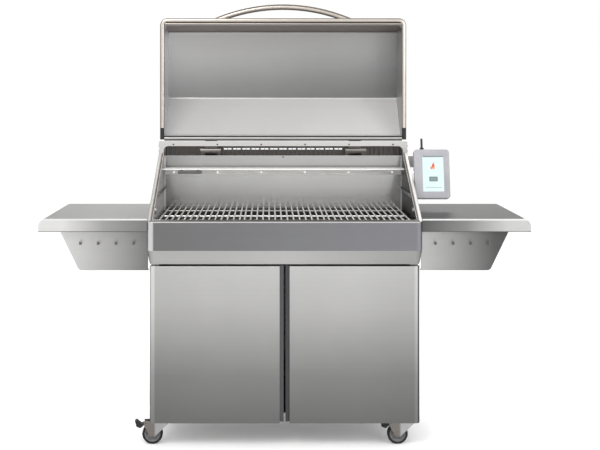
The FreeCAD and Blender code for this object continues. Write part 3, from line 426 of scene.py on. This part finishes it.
def hood_inside_tone(shader):
    """Hood lining in painted light: mid grey, lighter at the top and to the left, with a lighter sloping panel
    along the bottom, end walls light on the left and darker on the right, and brown-grey faces underneath.
    """
    x, _, z = shader.split(shader.place)
    facing_x, _, facing_z = shader.facing()
    # Painted light: lighter towards the top and a little towards the left.
    tilt = shader.math("SUBTRACT", z, shader.math("MULTIPLY", x, 0.08))
    main = shader.ramp(tilt, [(1.34, 0.2), (1.42, 0.25), (1.5, 0.33), (1.6, 0.43), (1.68, 0.5)])
    across = shader.fit(x, -0.5, 0.5, 1.1, 0.95)
    main = shader.add("VectorMath", {0: main, "Scale": across}, operation="SCALE").outputs[0]
    # Painted light: the sloping panel faces up towards the lamps and is painted lighter.
    slope = shader.ramp(x, [(-0.5, 0.53), (0.0, 0.56), (0.5, 0.63)])
    skin = colour((0.33, 0.27, 0.25))
    # Painted light and shade: the end walls are light on the left and darker on the right.
    cheeks = shader.ramp(x, [(-0.4, (0.86, 0.87, 0.92)), (0.4, (0.54, 0.54, 0.55))])
    main = shader.mix(shader.math("GREATER_THAN", shader.math("ABSOLUTE", facing_x), 0.7), main, cheeks)
    is_skin = shader.math("LESS_THAN", facing_z, -0.8)
    return shader.mix(is_skin, shader.mix(on_slope(shader), main, slope), skin)


def on_slope(shader):
    return shader.math("GREATER_THAN", shader.facing()[2], 0.3)


def hood_inside_metal(shader):
    """The sloping panel looks frosted, and the rest of the lining doesn't."""
    return shader.mix_number(on_slope(shader), 0.9, 0.25)


def shelf_tone(side):
    """A side shelf in painted light: its front lip brightens towards the outer end, with a painted highlight
    along its top edge, painted shade along its bottom edge and round its outer end, and a top lit differently
    on each side.
    """
    def tone(shader):
        x, _, z = shader.split(shader.place)
        facing_z = shader.facing()[2]
        out = shader.math("ABSOLUTE", x)
        # Painted reflection: the lip lightens outwards, differently on each shelf.
        inner, middle, outer = ((0.25, 0.42, 0.86), (0.138, 0.29, 0.66))[side > 0]
        lip = shader.ramp(out, [(0.54, inner), (0.7, middle), (0.86, outer), (0.95, outer)])
        # Painted highlight along the lip's top edge and painted shade along its bottom edge.
        lip = shader.mix(shader.fit(z, SHELF_HIGH.z - 0.007, SHELF_HIGH.z - 0.0045), lip, colour(0.95))
        lip = shader.mix(shader.fit(z, SHELF_LOW.z + 0.0035, SHELF_LOW.z + 0.001), lip, colour(0.12))
        # Painted shade on the rounded outer end.
        turned = shader.math("MULTIPLY", shader.facing()[0], side)
        dark = shader.ramp(turned, [(0.3, 0.0), (0.6, 1.0), (0.8, 1.0), (0.95, 0.0)])
        lip = shader.mix(dark, lip, colour(0.12))
        # Painted light: the top, lit differently on each shelf.
        top = shader.ramp(out, [(0.54, (0.38, 0.26)[side > 0]), (0.95, (0.46, 0.34)[side > 0])])
        return shader.mix(shader.math("GREATER_THAN", facing_z, 0.5), lip, top)
    return tone


def polished_tone(shader):
    """Polished tube: a painted highlight, cream where it faces the eye, and painted shade in brown-grey towards
    its edges, a little brighter at its ends.
    """
    # Painted highlight and shade that follow the angle of view.
    away = shader.add("LayerWeight", {"Blend": 0.5}).outputs["Facing"]
    tube = shader.ramp(away, [(0.0, (0.8, 0.75, 0.69)), (0.04, (0.68, 0.62, 0.56)),
                              (0.14, (0.38, 0.33, 0.285)), (0.38, (0.15, 0.128, 0.11)),
                              (1.0, (0.08, 0.07, 0.06))])
    x = shader.split(shader.place)[0]
    # Painted light: a little brighter at the ends.
    across = shader.ramp(x, [(-0.53, 0.84), (0.0, 0.8), (0.5, 0.8), (0.53, 0.94)])
    return shader.mix(1.0, tube, across, "MULTIPLY")


def rim_tone(shader):
    """The firebox's rim: a painted highlight line between brown-grey edges of painted shade, brightest down the
    right side.
    """
    x, y, _ = shader.split(shader.place)
    from_side = shader.math("SUBTRACT", SHELL_HIGH.x, shader.math("ABSOLUTE", x))
    from_front = shader.math("SUBTRACT", y, SHELL_LOW.y)
    # Painted highlight along the crown and painted shade at the edges, strongest down the right side and along
    # the front.
    outer, inner = (0.3, 0.27, 0.24), (0.12, 0.11, 0.1)
    left = shader.ramp(from_side, [(0.0, outer), (0.002, (0.42, 0.4, 0.37)), (0.006, (0.42, 0.41, 0.4)),
                                   (0.009, (0.55, 0.54, 0.53)), (0.0135, (0.22, 0.195, 0.175)),
                                   (MOUTH_WIDTH, inner)])
    right = shader.ramp(from_side, [(0.0, outer), (0.003, (0.9, 0.89, 0.88)), (0.010, (0.85, 0.84, 0.83)),
                                    (0.0135, (0.24, 0.215, 0.195)), (MOUTH_WIDTH, inner)])
    side = shader.mix(shader.math("GREATER_THAN", x, 0.0), left, right)
    front = shader.ramp(from_front, [(0.0, 0.6), (0.0025, 0.6), (0.005, (0.2, 0.185, 0.175)),
                                     (MOUTH_WIDTH, (0.08, 0.075, 0.07))])
    return shader.mix(shader.math("LESS_THAN", from_front, from_side), side, front)


def ledge_tone(shader):
    """White in front, with a painted shadow along the back of its top where it meets the wall."""
    _, y, _ = shader.split(shader.place)
    white = (0.92, 0.915, 0.905)
    # Painted shadow along the back of the top, where the ledge meets the wall.
    top = shader.ramp(y, [(LEDGE_HIGH.y - 0.024, white), (LEDGE_HIGH.y - 0.014, 0.2), (LEDGE_HIGH.y, 0.15)])
    return shader.mix(shader.math("GREATER_THAN", shader.facing()[2], 0.5), colour(white), top)


def above_chamber(shader):
    """Whether a screw is higher than those under the ledge."""
    _, _, z = shader.split(shader.place)
    return shader.math("GREATER_THAN", z, LINER_HIGH.z - 0.065)


def screw_tone(shader):
    """Screws are near black above the chamber and bright inside it."""
    return shader.mix(above_chamber(shader), colour(0.97), colour(0.07))


def screw_painted_glint(shader):
    """Painted highlight: the polished screws under the ledge glow as if they caught the light."""
    return shader.mix_number(above_chamber(shader), 0.55, 0.0)


def hinge_tone(shader):
    """Hinge metal, with painted shade where it passes under the hood."""
    _, _, z = shader.split(shader.place)
    return shader.ramp(z, [(1.148, (0.3, 0.285, 0.27)), (1.156, (0.05, 0.048, 0.045))])


def grate_tone(shader):
    """Bright rods over cross bars, with painted shade darkening the bars, and the rods a little, towards the
    back.
    """
    _, y, z = shader.split(shader.place)
    # Painted shade: the rods darken a little towards the back, and the bars a lot.
    rods = shader.ramp(y, [(GRATE_LOW.y, (1.0, 0.98, 0.95)), (GRATE_HIGH.y, (0.9, 0.87, 0.83))])
    back, top = GRATE_HIGH.y, GRATE_HIGH.z
    bars = shader.ramp(y, [(back - 0.25, 1.0), (back - 0.12, 0.5), (back - 0.05, 0.45), (back - 0.02, 0.05)])
    return shader.mix(shader.fit(z, top - 0.0055, top - 0.0045), bars, rods)


def bracket_tone(shader):
    """Shelf brackets: painted light and shade, both fronts running from light on the left to dark on the right,
    with mid grey ends.
    """
    x, _, _ = shader.split(shader.place)
    # Painted light and shade across each bracket's front.
    stops = [(-0.87, 0.78), (-0.7, 0.5), (-0.53, 0.225), (0.53, 0.58), (0.7, 0.31), (0.82, 0.13),
             (0.87, 0.11)]
    is_end = shader.math("GREATER_THAN", shader.math("ABSOLUTE", shader.facing()[0]), 0.7)
    return shader.mix(is_end, shader.ramp(x, stops), colour(0.45))


def fork_tone(shader):
    """A front fork: painted shade in brown-grey on one side of its wheel's middle and a painted highlight on
    the other, dark along its top.
    """
    x, _, z = shader.split(shader.place)
    middles = [(low.x + high.x) / 2 for low, high in (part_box("tyre_front_" + side) for side in SIDES)]
    middle = shader.mix_number(shader.math("GREATER_THAN", x, 0.0), *middles)
    across = shader.math("SUBTRACT", x, middle)
    # Painted shade on one side of the wheel's middle and a painted highlight on the other.
    tone = shader.ramp(across, [(0.006, (0.27, 0.25, 0.235)), (0.014, (0.55, 0.55, 0.56))])
    return shader.mix(shader.fit(z, FORK_TOP - 0.003, FORK_TOP), tone, colour(0.12))


def screen_material():
    """A lit panel whose light varies softly across it."""
    shader = Shader("screen_glass")
    cloud = shader.noise((8.0, 8.0, 8.0), detail=1.0)
    lit = shader.ramp(cloud, [(0.3, (0.74, 0.9, 0.9)), (0.7, (0.8, 0.95, 0.95))])
    shader.plug(shader.surface.inputs["Base Color"], colour((0.05, 0.06, 0.06)))
    shader.plug(shader.surface.inputs["Roughness"], 0.08)
    shader.plug(shader.surface.inputs["Emission Color"], lit)
    shader.plug(shader.surface.inputs["Emission Strength"], 0.98)
    return shader.material


def glowing(name, tone, strength=1.0):
    """Part of the screen's picture."""
    shader = Shader(name)
    grain = shader.noise((300.0, 300.0, 300.0), detail=1.0)
    lit = shader.add("VectorMath", {0: colour(tone)[:3], "Scale": shader.fit(grain, 0.3, 0.7, 0.97, 1.03)},
                     operation="SCALE").outputs[0]
    shader.plug(shader.surface.inputs["Base Color"], colour(0.02))
    shader.plug(shader.surface.inputs["Roughness"], 0.1)
    shader.plug(shader.surface.inputs["Emission Color"], lit)
    shader.plug(shader.surface.inputs["Emission Strength"], strength)
    return shader.material


FINISH = {
    "door": brushed("door_steel", door_tone, rough=0.33),
    "shell": brushed("firebox_steel", shell_tone, rough=0.33),
    "body": brushed("body_steel", 0.5, rough=0.33, grazing=0.4),
    "chamber": brushed("chamber_steel", chamber_tone, rough=chamber_rough, metallic=chamber_metal),
    "hood_inside": brushed("hood_lining_steel", hood_inside_tone, rough=0.33, edge_shading=0.0,
                           metallic=hood_inside_metal),
    "trim": brushed("polished_trim", polished_tone, rough=0.33, streak=0.03, edge=0.0004, bump=0.01, edge_shading=0.0),
    "top_strip": brushed("hood_top_strip_steel", (0.4, 0.37, 0.34), rough=0.33, edge=0.0004, edge_shading=0.0),
    "rim": brushed("rim_steel", rim_tone, rough=0.33, streak=0.03, edge=0.0004, edge_shading=0.0, metallic=0.7),
    "hinge": brushed("hinge_steel", hinge_tone, rough=0.33, streak=0.03, edge=0.0006),
    "ledge": brushed("ledge_steel", ledge_tone, rough=0.33, metallic=0.3, edge=0.0004),
    "frame": brushed("rear_frame_steel", (0.64, 0.63, 0.62), rough=0.33, metallic=0.8),
    "strip": brushed("hood_strip_steel", (0.5, 0.49, 0.48), rough=0.33, metallic=0.9),
    "vent": moulded("vent_paint", (0.16, 0.142, 0.132), rough=0.4),
    # The screws under the ledge glow as a painted highlight.
    "screws": brushed("screw_steel", screw_tone, rough=0.33, edge=0.0004, edge_shading=0.0, metallic=0.4,
                      painted_glow=screw_painted_glint),
    "grate": brushed("grate_rods", grate_tone, rough=0.33, smudge=0.06, edge=0.0006, edge_shading=0.0, metallic=0.7),
    "dark": brushed("heat_darkened_steel", (0.03, 0.028, 0.027), rough=0.55, smudge=0.2, edge_shading=0.05,
                    metallic=0.4),
    "probe": brushed("probe_steel", (0.15, 0.145, 0.14), rough=0.4, edge_shading=0.0, metallic=0.5),
    "fork": brushed("fork_steel", fork_tone, rough=0.36, smudge=0.1),
    "galvanised": brushed("galvanised_steel", (0.5, 0.51, 0.52), rough=0.38, streak=0.03, smudge=0.18),
    # The two shelves get copies of one steel whose tones and grazing brightness differ as painted light.
    "shelf_left": brushed("left_shelf_steel", shelf_tone(-1), rough=0.34, grazing=0.44),
    "shelf_right": brushed("right_shelf_steel", shelf_tone(1), rough=0.34, grazing=0.35),
    # Painted shade: the brackets' soft edges are painted near black.
    "bracket": brushed("bracket_steel", bracket_tone, rough=0.33, edge=0.0022, edge_shading=0.8, edge_tone=0.06),
    "black_paint": moulded("black_paint", (0.05, 0.045, 0.043), rough=0.4),
    "black_plastic": moulded("black_plastic", 0.007, rough=0.5, edge_shading=0.03),
    # Near-black bars that paint the shadow in the hood's gaps.
    "gap_shadow": moulded("gap_shadow_black", (0.025, 0.022, 0.02), rough=0.8, bump=0.4),
    "rubber": moulded("tyre_rubber", 0.004, rough=0.7, bump=0.2, edge_shading=0.0),
    "grey_plastic": moulded("grey_plastic", (0.33, 0.33, 0.35), rough=0.42),
    "hub": moulded("hub_plastic", (0.15, 0.15, 0.155), rough=0.45),
    "ceramic": moulded("ceramic", (0.8, 0.77, 0.7), rough=0.6),
    "screen": screen_material(),
}

NODE_FINISH = {
    "firebox_shell": "shell", "firebox_liner": "chamber", "rear_frame": "frame", "vent_grille": "vent",
    "rear_ledge": "ledge", "rack_rails": "body", "probe_ports": "body", "temperature_probe": "probe",
    "heat_deflector": "dark", "drip_tray": "dark", "burn_pot": "dark", "igniter": "ceramic",
    "grate_left": "grate", "grate_middle": "grate", "grate_right": "grate", "hopper": "body",
    "hopper_lid": "body", "auger_tube": "dark", "auger_screw": "dark", "auger_motor": "black_paint",
    "blower_housing": "galvanised", "blower_rotor": "galvanised", "power_inlet": "black_plastic",
    "hood_shell": "body", "hood_liner": "hood_inside", "hood_handle": "trim", "hood_hinge_arms": "hinge",
    "hood_hinge_brackets": "hinge", "hinge_pins": "hinge", "cabinet_sides": "body", "cabinet_floor": "body",
    "cabinet_back": "galvanised", "door_hinge_leaves": "hinge", "door_right": "door", "door_left": "door",
    "door_liner_right": "body", "door_liner_left": "body", "shelf_right": "shelf_right",
    "shelf_left": "shelf_left", "shelf_brackets": "bracket", "tool_hooks": "probe",
    "controller_housing": "grey_plastic", "touchscreen": "screen", "antenna": "black_plastic",
    "controller_bracket": "galvanised", "caster_plates": "galvanised", "rear_forks": "galvanised",
    "panel_screws": "screws",
}
for name in SIDES:
    NODE_FINISH["fork_front_" + name] = "fork"
    NODE_FINISH["brake_pedal_" + name] = "black_plastic"

for node, finish in NODE_FINISH.items():
    for slot in NODES[node].material_slots:
        slot.material = FINISH[finish]


# Hood trim -----------------------------------------------------------------------------------------
def rim_path(inset, bottom):
    """Points up one side of the hood's rim, round its top corners and down the other, in X and Z."""
    half, top = RIM_HIGH.x - inset, RIM_HIGH.z - inset
    radius = HOOD_CORNER - inset
    points = [(half, bottom)]
    points += arc((half - radius, top - radius), radius, 0, 90, 12)
    points += arc((-half + radius, top - radius), radius, 90, 180, 12)
    return points + [(-half, bottom)]


def rim_sweep(depth, bottom, power, across=14):
    """A strip with a bulging face, as wide as the rim and swept along its path."""
    loops = []
    for step in range(across + 1):
        turn = math.pi * step / across
        reach = RIM_WIDTH * (1 - math.cos(turn)) / 2
        bulge = depth * math.sin(turn) ** (2.0 / power)
        loops.append([Vector((x, RIM_HIGH.y - bulge, z)) for x, z in rim_path(reach, bottom)])
    return loft(loops, closed=False, caps=False)


def bar(low, high, radius, steps=5):
    """A straight bar along X whose front edges are rounded."""
    y_back = high[1]
    outline = [(y_back, low[2])]
    outline += arc((low[1] + radius, low[2] + radius), radius, 270, 180, steps)
    outline += arc((low[1] + radius, high[2] - radius), radius, 180, 90, steps)
    outline += [(y_back, high[2])]
    return loft([[Vector((x, y, z)) for y, z in outline] for x in (low[0], high[0])])


def hood_trim():
    """The bright tube round the hood's mouth, its black ends, and the strips between them, with two near-black
    bars that paint the shadow in the gaps above and below the bottom strip.
    """
    depth = RIM_HIGH.y - RIM_LOW.y
    tube = rim_sweep(depth + 0.001, CAP_HIGH.z, power=2.6)
    tube = new_object("hood_trim_tube", *tube, FINISH["trim"], "hood", smooth=60)
    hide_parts("hood_rim")

    caps = []
    for side in SIDES.values():
        outer, inner = side * RIM_HIGH.x, side * (RIM_HIGH.x - RIM_WIDTH)
        profile = []
        for step in range(13):
            turn = math.pi * step / 12
            x = outer + (inner - outer) * (1 - math.cos(turn)) / 2
            profile.append((x, RIM_HIGH.y - (depth + 0.0015) * math.sin(turn) ** 0.75))
        if side < 0:
            profile.reverse()
        heights = (CAP_LOW.z, CAP_LOW.z + 0.002, CAP_HIGH.z - 0.001, CAP_HIGH.z)
        caps.append(loft([[Vector((x, y, z)) for x, y in profile] for z in heights]))
    caps = new_object("hood_trim_ends", *merged(caps), FINISH["black_plastic"], "hood", smooth=50)
    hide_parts("rim_end_caps")

    bottom, top = RIM_LOW.z, RIM_HIGH.z - RIM_WIDTH
    # The last two bars are near black and stand in for the shadow in the gaps above and below the bottom strip,
    # a painted shadow.
    strips = [("hood_bottom_strip", "strip", 0.0, bottom, bottom + 0.0105, 0.003),
              ("hood_top_strip", "top_strip", 0.001, top - 0.0105, top - 0.001, 0.004),
              ("hood_gap_shadow", "gap_shadow", 0.001, bottom + 0.0105, bottom + 0.016, 0.001),
              ("hood_lower_gap_shadow", "gap_shadow", 0.001, bottom - 0.0048, bottom + 0.0005, 0.001)]
    inner = RIM_HIGH.x - RIM_WIDTH
    for name, finish, setback, low, high, radius in strips:
        strip = bar((-inner, RIM_LOW.y + setback, low), (inner, RIM_HIGH.y, high), radius)
        new_object(name, *strip, FINISH[finish], "hood", smooth=50)


hood_trim()


# Controller ----------------------------------------------------------------------------------------
def body_of(node):
    groups = frame["record"]["behaviour"]["bodies"]
    return next(body for body, members in groups.items() if node in members)


def case_place():
    """Turns the controller's own axes, seen from its front, into the frame's."""
    joint = next(joint for joint in frame["joints"] if joint["child"] == body_of("antenna"))
    lean = Matrix.Rotation(-CASE_TILT, 4, "X")
    return Matrix.Translation(Vector(joint["pos_m"])) @ lean @ Matrix.Translation(-Vector(AERIAL_IN_CASE))


def rounded_ring(place, low, high, inset, depth, radius):
    shape = rounded_rectangle((low[0] + inset, low[1] + inset), (high[0] - inset, high[1] - inset), radius)
    return [place @ Vector((x, depth, z)) for x, z in shape]


def controller_case():
    """A moulded case with soft edges, open at the front round the glass."""
    place = case_place()
    soft = 0.004
    rounding = [(soft * (1 - math.sin(math.radians(turn))), soft * (1 - math.cos(math.radians(turn))))
                for turn in range(0, 91, 15)]
    rings = []
    for inset, depth in rounding:
        rings.append(rounded_ring(place, CASE_LOW, CASE_HIGH, inset, CASE_DEPTH - depth, CASE_CORNER - inset))
    for inset, depth in reversed(rounding):
        rings.append(rounded_ring(place, CASE_LOW, CASE_HIGH, inset, depth, CASE_CORNER - inset))
    for grow, depth in ((0.0018, 0.0), (0.0006, 0.0004), (0.0, 0.0016), (0.0, 0.0035)):
        rings.append(rounded_ring(place, GLASS_LOW, GLASS_HIGH, -grow, depth, 0.003 + grow))
    case = new_object("controller_case", *loft(rings), FINISH["grey_plastic"], "grill", smooth=30)
    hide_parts("controller_housing")
    ears = []
    for low, high in ((-0.009, -0.0063), (0.0063, 0.009)):
        x, y, z = AERIAL_IN_CASE
        outline = [(y - 0.004, z - 0.007)] + arc((y, z), 0.004, 180, 0, 8) + [(y + 0.004, z - 0.007)]
        ears.append(loft([[place @ Vector((x + edge, a, b)) for a, b in outline] for edge in (low, high)]))
    new_object("controller_aerial_ears", *merged(ears), FINISH["grey_plastic"], "grill", smooth=30)


def on_glass(place, points, depth):
    return [place @ Vector((x, depth, z)) for x, z in points]


def flame(centre, width, height, lean, steps=28):
    """A drop with a pointed top that leans to one side."""
    points = []
    for step in range(steps):
        turn = 2 * math.pi * step / steps
        up = math.cos(turn)
        out = math.sin(turn) * math.sin(turn / 2) ** 1.4
        points.append((centre[0] + width * out / 2 + lean * (up + 1) ** 2 / 4, centre[1] + height * up / 2))
    return points


def screen_picture():
    """A plain home page: a flame, a grey button and a thin line, with a painted shadow of the case along its
    top edge.
    """
    place = case_place()
    glass = 0.001
    middle = (GLASS_LOW[0] + GLASS_HIGH[0]) / 2
    flames = [((middle, 0.034), 0.019, 0.031, 0.002, 0.0003, (0.80, 0.13, 0.04)),
              ((middle - 0.0085, 0.0255), 0.0075, 0.014, -0.002, 0.0004, (0.86, 0.25, 0.10)),
              ((middle + 0.0035, 0.0275), 0.0085, 0.0165, 0.003, 0.0005, (0.95, 0.42, 0.14)),
              ((middle - 0.0015, 0.0235), 0.0045, 0.0085, 0.0, 0.0006, (0.98, 0.8, 0.62))]
    for number, (centre, width, height, lean, raised, tone) in enumerate(flames):
        points = on_glass(place, flame(centre, width, height, lean), glass - raised)
        new_object(f"screen_flame_{number}", points, [tuple(range(len(points)))],
                   glowing(f"flame_{number}", tone), "grill")
    # The last block is a painted shadow of the case along the top of the screen.
    blocks = [("screen_button", 0.0175, (-0.0315, -0.0115), 0.003, (0.2, 0.27, 0.27)),
              ("screen_line", 0.033, (-0.0572, -0.0552), 0.0009, (0.3, 0.42, 0.42)),
              ("screen_top_shadow", 0.0425, (0.0695, 0.0722), 0.0009, (0.09, 0.1, 0.1))]
    for name, half, (low, high), radius, tone in blocks:
        shape = rounded_rectangle((middle - half, low), (middle + half, high), radius, steps=4)
        points = on_glass(place, shape, glass - 0.0004)
        new_object(name, points, [tuple(range(len(points)))], glowing(name + "_tone", tone), "grill")
    parts = []
    for z in (-0.0185, -0.0245):
        shape = rounded_rectangle((middle - 0.012, z - 0.001), (middle + 0.012, z + 0.001), 0.0008, steps=2)
        points = on_glass(place, shape, glass - 0.0006)
        parts.append((points, [tuple(range(len(points)))]))
    new_object("screen_button_bars", *merged(parts), glowing("button_bars", (0.34, 0.43, 0.43)), "grill")


controller_case()
screen_picture()


# Firebox rim ---------------------------------------------------------------------------------------
def mouth_path(inset):
    """Plan of the firebox's rim, from its left back end round the front to its right back end."""
    half, front = SHELL_HIGH.x - inset, SHELL_LOW.y + inset
    radius = BODY_CORNER - inset
    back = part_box("rear_frame")[0].y
    points = [(-half, back)]
    points += arc((-half + radius, front + radius), radius, 180, 270, 8)
    points += arc((half - radius, front + radius), radius, 270, 360, 8)
    return points + [(half, back)]


def mouth_trim():
    """A slightly crowned bright strip along the firebox's sloping rim."""
    width, rise, across = MOUTH_WIDTH, 0.0014, 8
    loops = []
    for step in range(across + 1):
        turn = math.pi * step / across
        inset = width * (1 - math.cos(turn)) / 2
        loops.append([Vector((x, y, LIP_Z + (y - SHELL_LOW.y) * math.tan(SLOPE) + rise * math.sin(turn)))
                      for x, y in mouth_path(inset)])
    new_object("firebox_rim", *loft(loops, closed=False, caps=False), FINISH["rim"], "grill", smooth=60)


mouth_trim()


# Caster wheels -------------------------------------------------------------------------------------
def tyre_profile(radius, half):
    """Half a tyre's section with a grooved tread, then its mirror image."""
    wall = [(half - 0.0015, 0.031), (half, 0.0325), (half, radius - 0.004)]
    shoulder = arc((half - 0.004, radius - 0.004), 0.004, 0, 90, 6)
    groove = [(0.0052, radius), (0.0048, radius - 0.0012), (0.0038, radius - 0.0012), (0.0034, radius)]
    side = wall + shoulder + groove
    return side + [(-along, out) for along, out in reversed(side)]


def hub_profile():
    """Half a hub's section, from its bore out to the tyre, then its mirror image."""
    side = [(0.0138, 0.0041), (0.0138, 0.0085), (0.0122, 0.0102), (0.0062, 0.0108), (0.0042, 0.0125),
            (0.0042, 0.0235), (0.0062, 0.0262), (0.0098, 0.0272), (0.0102, 0.0285), (0.0102, 0.0308)]
    return side + [(-along, out) for along, out in reversed(side)]


def hub_ribs(axis, centre):
    """Six ribs on each face of the hub."""
    parts = []
    for face in (-1, 1):
        for step in range(6):
            turn = math.radians(60 * step)
            loops = []
            for reach in (0.0105, 0.0268):
                loop = []
                for along, across in ((0.003, -0.0011), (0.0088, -0.0008), (0.0088, 0.0008), (0.003, 0.0011)):
                    out = reach * math.cos(turn) - across * math.sin(turn)
                    up = reach * math.sin(turn) + across * math.cos(turn)
                    offset = (face * along, out, up) if axis == "x" else (out, face * along, up)
                    loop.append(Vector(centre) + Vector(offset))
                loops.append(loop)
            parts.append(loft(loops))
    return parts


def wheel(name, nodes, axis):
    """A caster wheel's tyre and hub, which ride on the body of the same name."""
    low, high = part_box(nodes[-1])
    centre = (low + high) / 2
    tyre = lathe(tyre_profile((high.z - low.z) / 2, 0.012), axis, centre)
    tyre = new_object(name + "_tyre", *tyre, FINISH["rubber"], name, smooth=50)
    hub = merged([lathe(hub_profile(), axis, centre)] + hub_ribs(axis, centre))
    new_object(name + "_hub", *hub, FINISH["hub"], name, smooth=35)
    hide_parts(*nodes)


for side in SIDES:
    wheel(side + "_front_wheel", ["wheel_hub_front_" + side, "tyre_front_" + side], "y")
    wheel(side + "_rear_wheel", ["wheel_rear_" + side], "x")


# Stage ---------------------------------------------------------------------------------------------
def studio_world():
    """White to the camera; for reflections, a soft room that is brighter above and to the sides."""
    world = bpy.data.worlds.new("studio")
    bpy.context.scene.world = world
    world.use_nodes = True
    tree = world.node_tree
    tree.nodes.clear()
    output = tree.nodes.new("ShaderNodeOutputWorld")
    switch = tree.nodes.new("ShaderNodeMixShader")
    path = tree.nodes.new("ShaderNodeLightPath")
    seen = tree.nodes.new("ShaderNodeBackground")
    room = tree.nodes.new("ShaderNodeBackground")
    direction = tree.nodes.new("ShaderNodeTexCoord")
    split = tree.nodes.new("ShaderNodeSeparateXYZ")
    height = tree.nodes.new("ShaderNodeMapRange")
    ramp = tree.nodes.new("ShaderNodeValToRGB")
    side = tree.nodes.new("ShaderNodeMath")
    boost = tree.nodes.new("ShaderNodeMapRange")
    seen.inputs["Color"].default_value = colour(1.0)
    side.operation = "ABSOLUTE"
    height.inputs["From Min"].default_value = -1.0
    for at, tone in ((0.0, 0.55), (0.45, 0.75), (0.52, 0.95), (0.7, 1.0), (1.0, 1.15)):
        element = ramp.color_ramp.elements.new(at) if 0 < at < 1 else ramp.color_ramp.elements[int(at)]
        element.color = colour(tone)
    boost.inputs["From Min"].default_value = 0.5
    boost.inputs["To Min"].default_value = 0.95
    boost.inputs["To Max"].default_value = 1.25
    link = tree.links.new
    link(direction.outputs["Generated"], split.inputs[0])
    link(split.outputs["Z"], height.inputs["Value"])
    link(height.outputs["Result"], ramp.inputs["Fac"])
    link(split.outputs["X"], side.inputs[0])
    link(side.outputs[0], boost.inputs["Value"])
    link(ramp.outputs["Color"], room.inputs["Color"])
    link(boost.outputs["Result"], room.inputs["Strength"])
    link(path.outputs["Is Camera Ray"], switch.inputs[0])
    link(room.outputs[0], switch.inputs[1])
    link(seen.outputs[0], switch.inputs[2])
    link(switch.outputs[0], output.inputs["Surface"])


def studio_floor():
    """A plain pale floor; reflections see it a little darker than the camera does."""
    shader = Shader("floor")
    mottle = shader.noise((0.8, 0.8, 0.8), detail=3.0)
    pale = shader.ramp(mottle, [(0.3, 0.9), (0.7, 0.93)])
    seen = shader.add("LightPath").outputs["Is Glossy Ray"]
    shader.plug(shader.surface.inputs["Base Color"], shader.mix(seen, pale, colour(0.62)))
    shader.plug(shader.surface.inputs["Roughness"], 0.9)
    direct = shader.add("LightPath").outputs["Is Camera Ray"]
    shader.plug(shader.surface.inputs["Emission Color"], colour(1.0))
    shader.plug(shader.surface.inputs["Emission Strength"], shader.math("MULTIPLY", direct, 0.12))
    shader.plug(shader.surface.inputs["Specular IOR Level"], 0.0)
    ring = [Vector((x, y, 0.0)) for x, y in arc((0.0, 0.0), 14.0, 0, 355, 71)]
    floor = new_object("studio_floor", ring, [tuple(range(len(ring)))], shader.material, None)


def area_light(name, place, target, size, power, tone=(1, 1, 1)):
    light = bpy.data.lights.new(name, "AREA")
    light.shape = "RECTANGLE"
    light.size, light.size_y = size
    light.energy = power
    light.color = tone
    obj = bpy.data.objects.new(name, light)
    bpy.context.scene.collection.objects.link(obj)
    obj.location = place
    obj.rotation_euler = (Vector(target) - Vector(place)).to_track_quat("-Z", "Y").to_euler()


def studio_camera():
    """A level camera a little left of the middle, raised to the hood, with a shifted lens."""
    data = bpy.data.cameras.new("camera")
    camera = bpy.data.objects.new("camera", data)
    bpy.context.scene.collection.objects.link(camera)
    camera.location = (-0.0585, -4.774, 1.408)
    camera.rotation_euler = (math.radians(90), 0.0, 0.0)
    data.sensor_width = 36.0
    data.lens = 68.6
    shift_at_rest(data, camera, "shift_x", 0.0508)
    shift_at_rest(data, camera, "shift_y", -0.235)
    bpy.context.scene.camera = camera


def shift_at_rest(data, camera, channel, amount, near=0.002):
    """Shifts the lens only while the camera stands at its first place, so that other views stay centred.

    The curve gives the shift for the camera's X: the amount at its first place and none elsewhere.
    """
    curve = data.driver_add(channel)
    for modifier in list(curve.modifiers):
        curve.modifiers.remove(modifier)
    curve.driver.type = "AVERAGE"
    place = curve.driver.variables.new()
    place.type = "TRANSFORMS"
    place.targets[0].id = camera
    place.targets[0].transform_type = "LOC_X"
    stops = ((-2 * near, 0.0), (-near, amount), (near, amount), (2 * near, 0.0))
    curve.keyframe_points.add(len(stops))
    for key, (offset, shift) in zip(curve.keyframe_points, stops):
        key.co = (camera.location.x + offset, shift)
        key.interpolation = "LINEAR"


studio_world()
studio_floor()
area_light("key", (-1.8, -3.6, 4.2), (0, 0, 0.9), (3.0, 2.0), 120)
area_light("fill", (2.6, -3.2, 2.4), (0, 0, 0.9), (2.0, 2.0), 50)
area_light("back", (0.0, 3.2, 3.4), (0, 0, 1.0), (3.0, 1.5), 80)
studio_camera()

scene = bpy.context.scene
scene.view_settings.view_transform = "Standard"
scene.view_settings.look = "None"
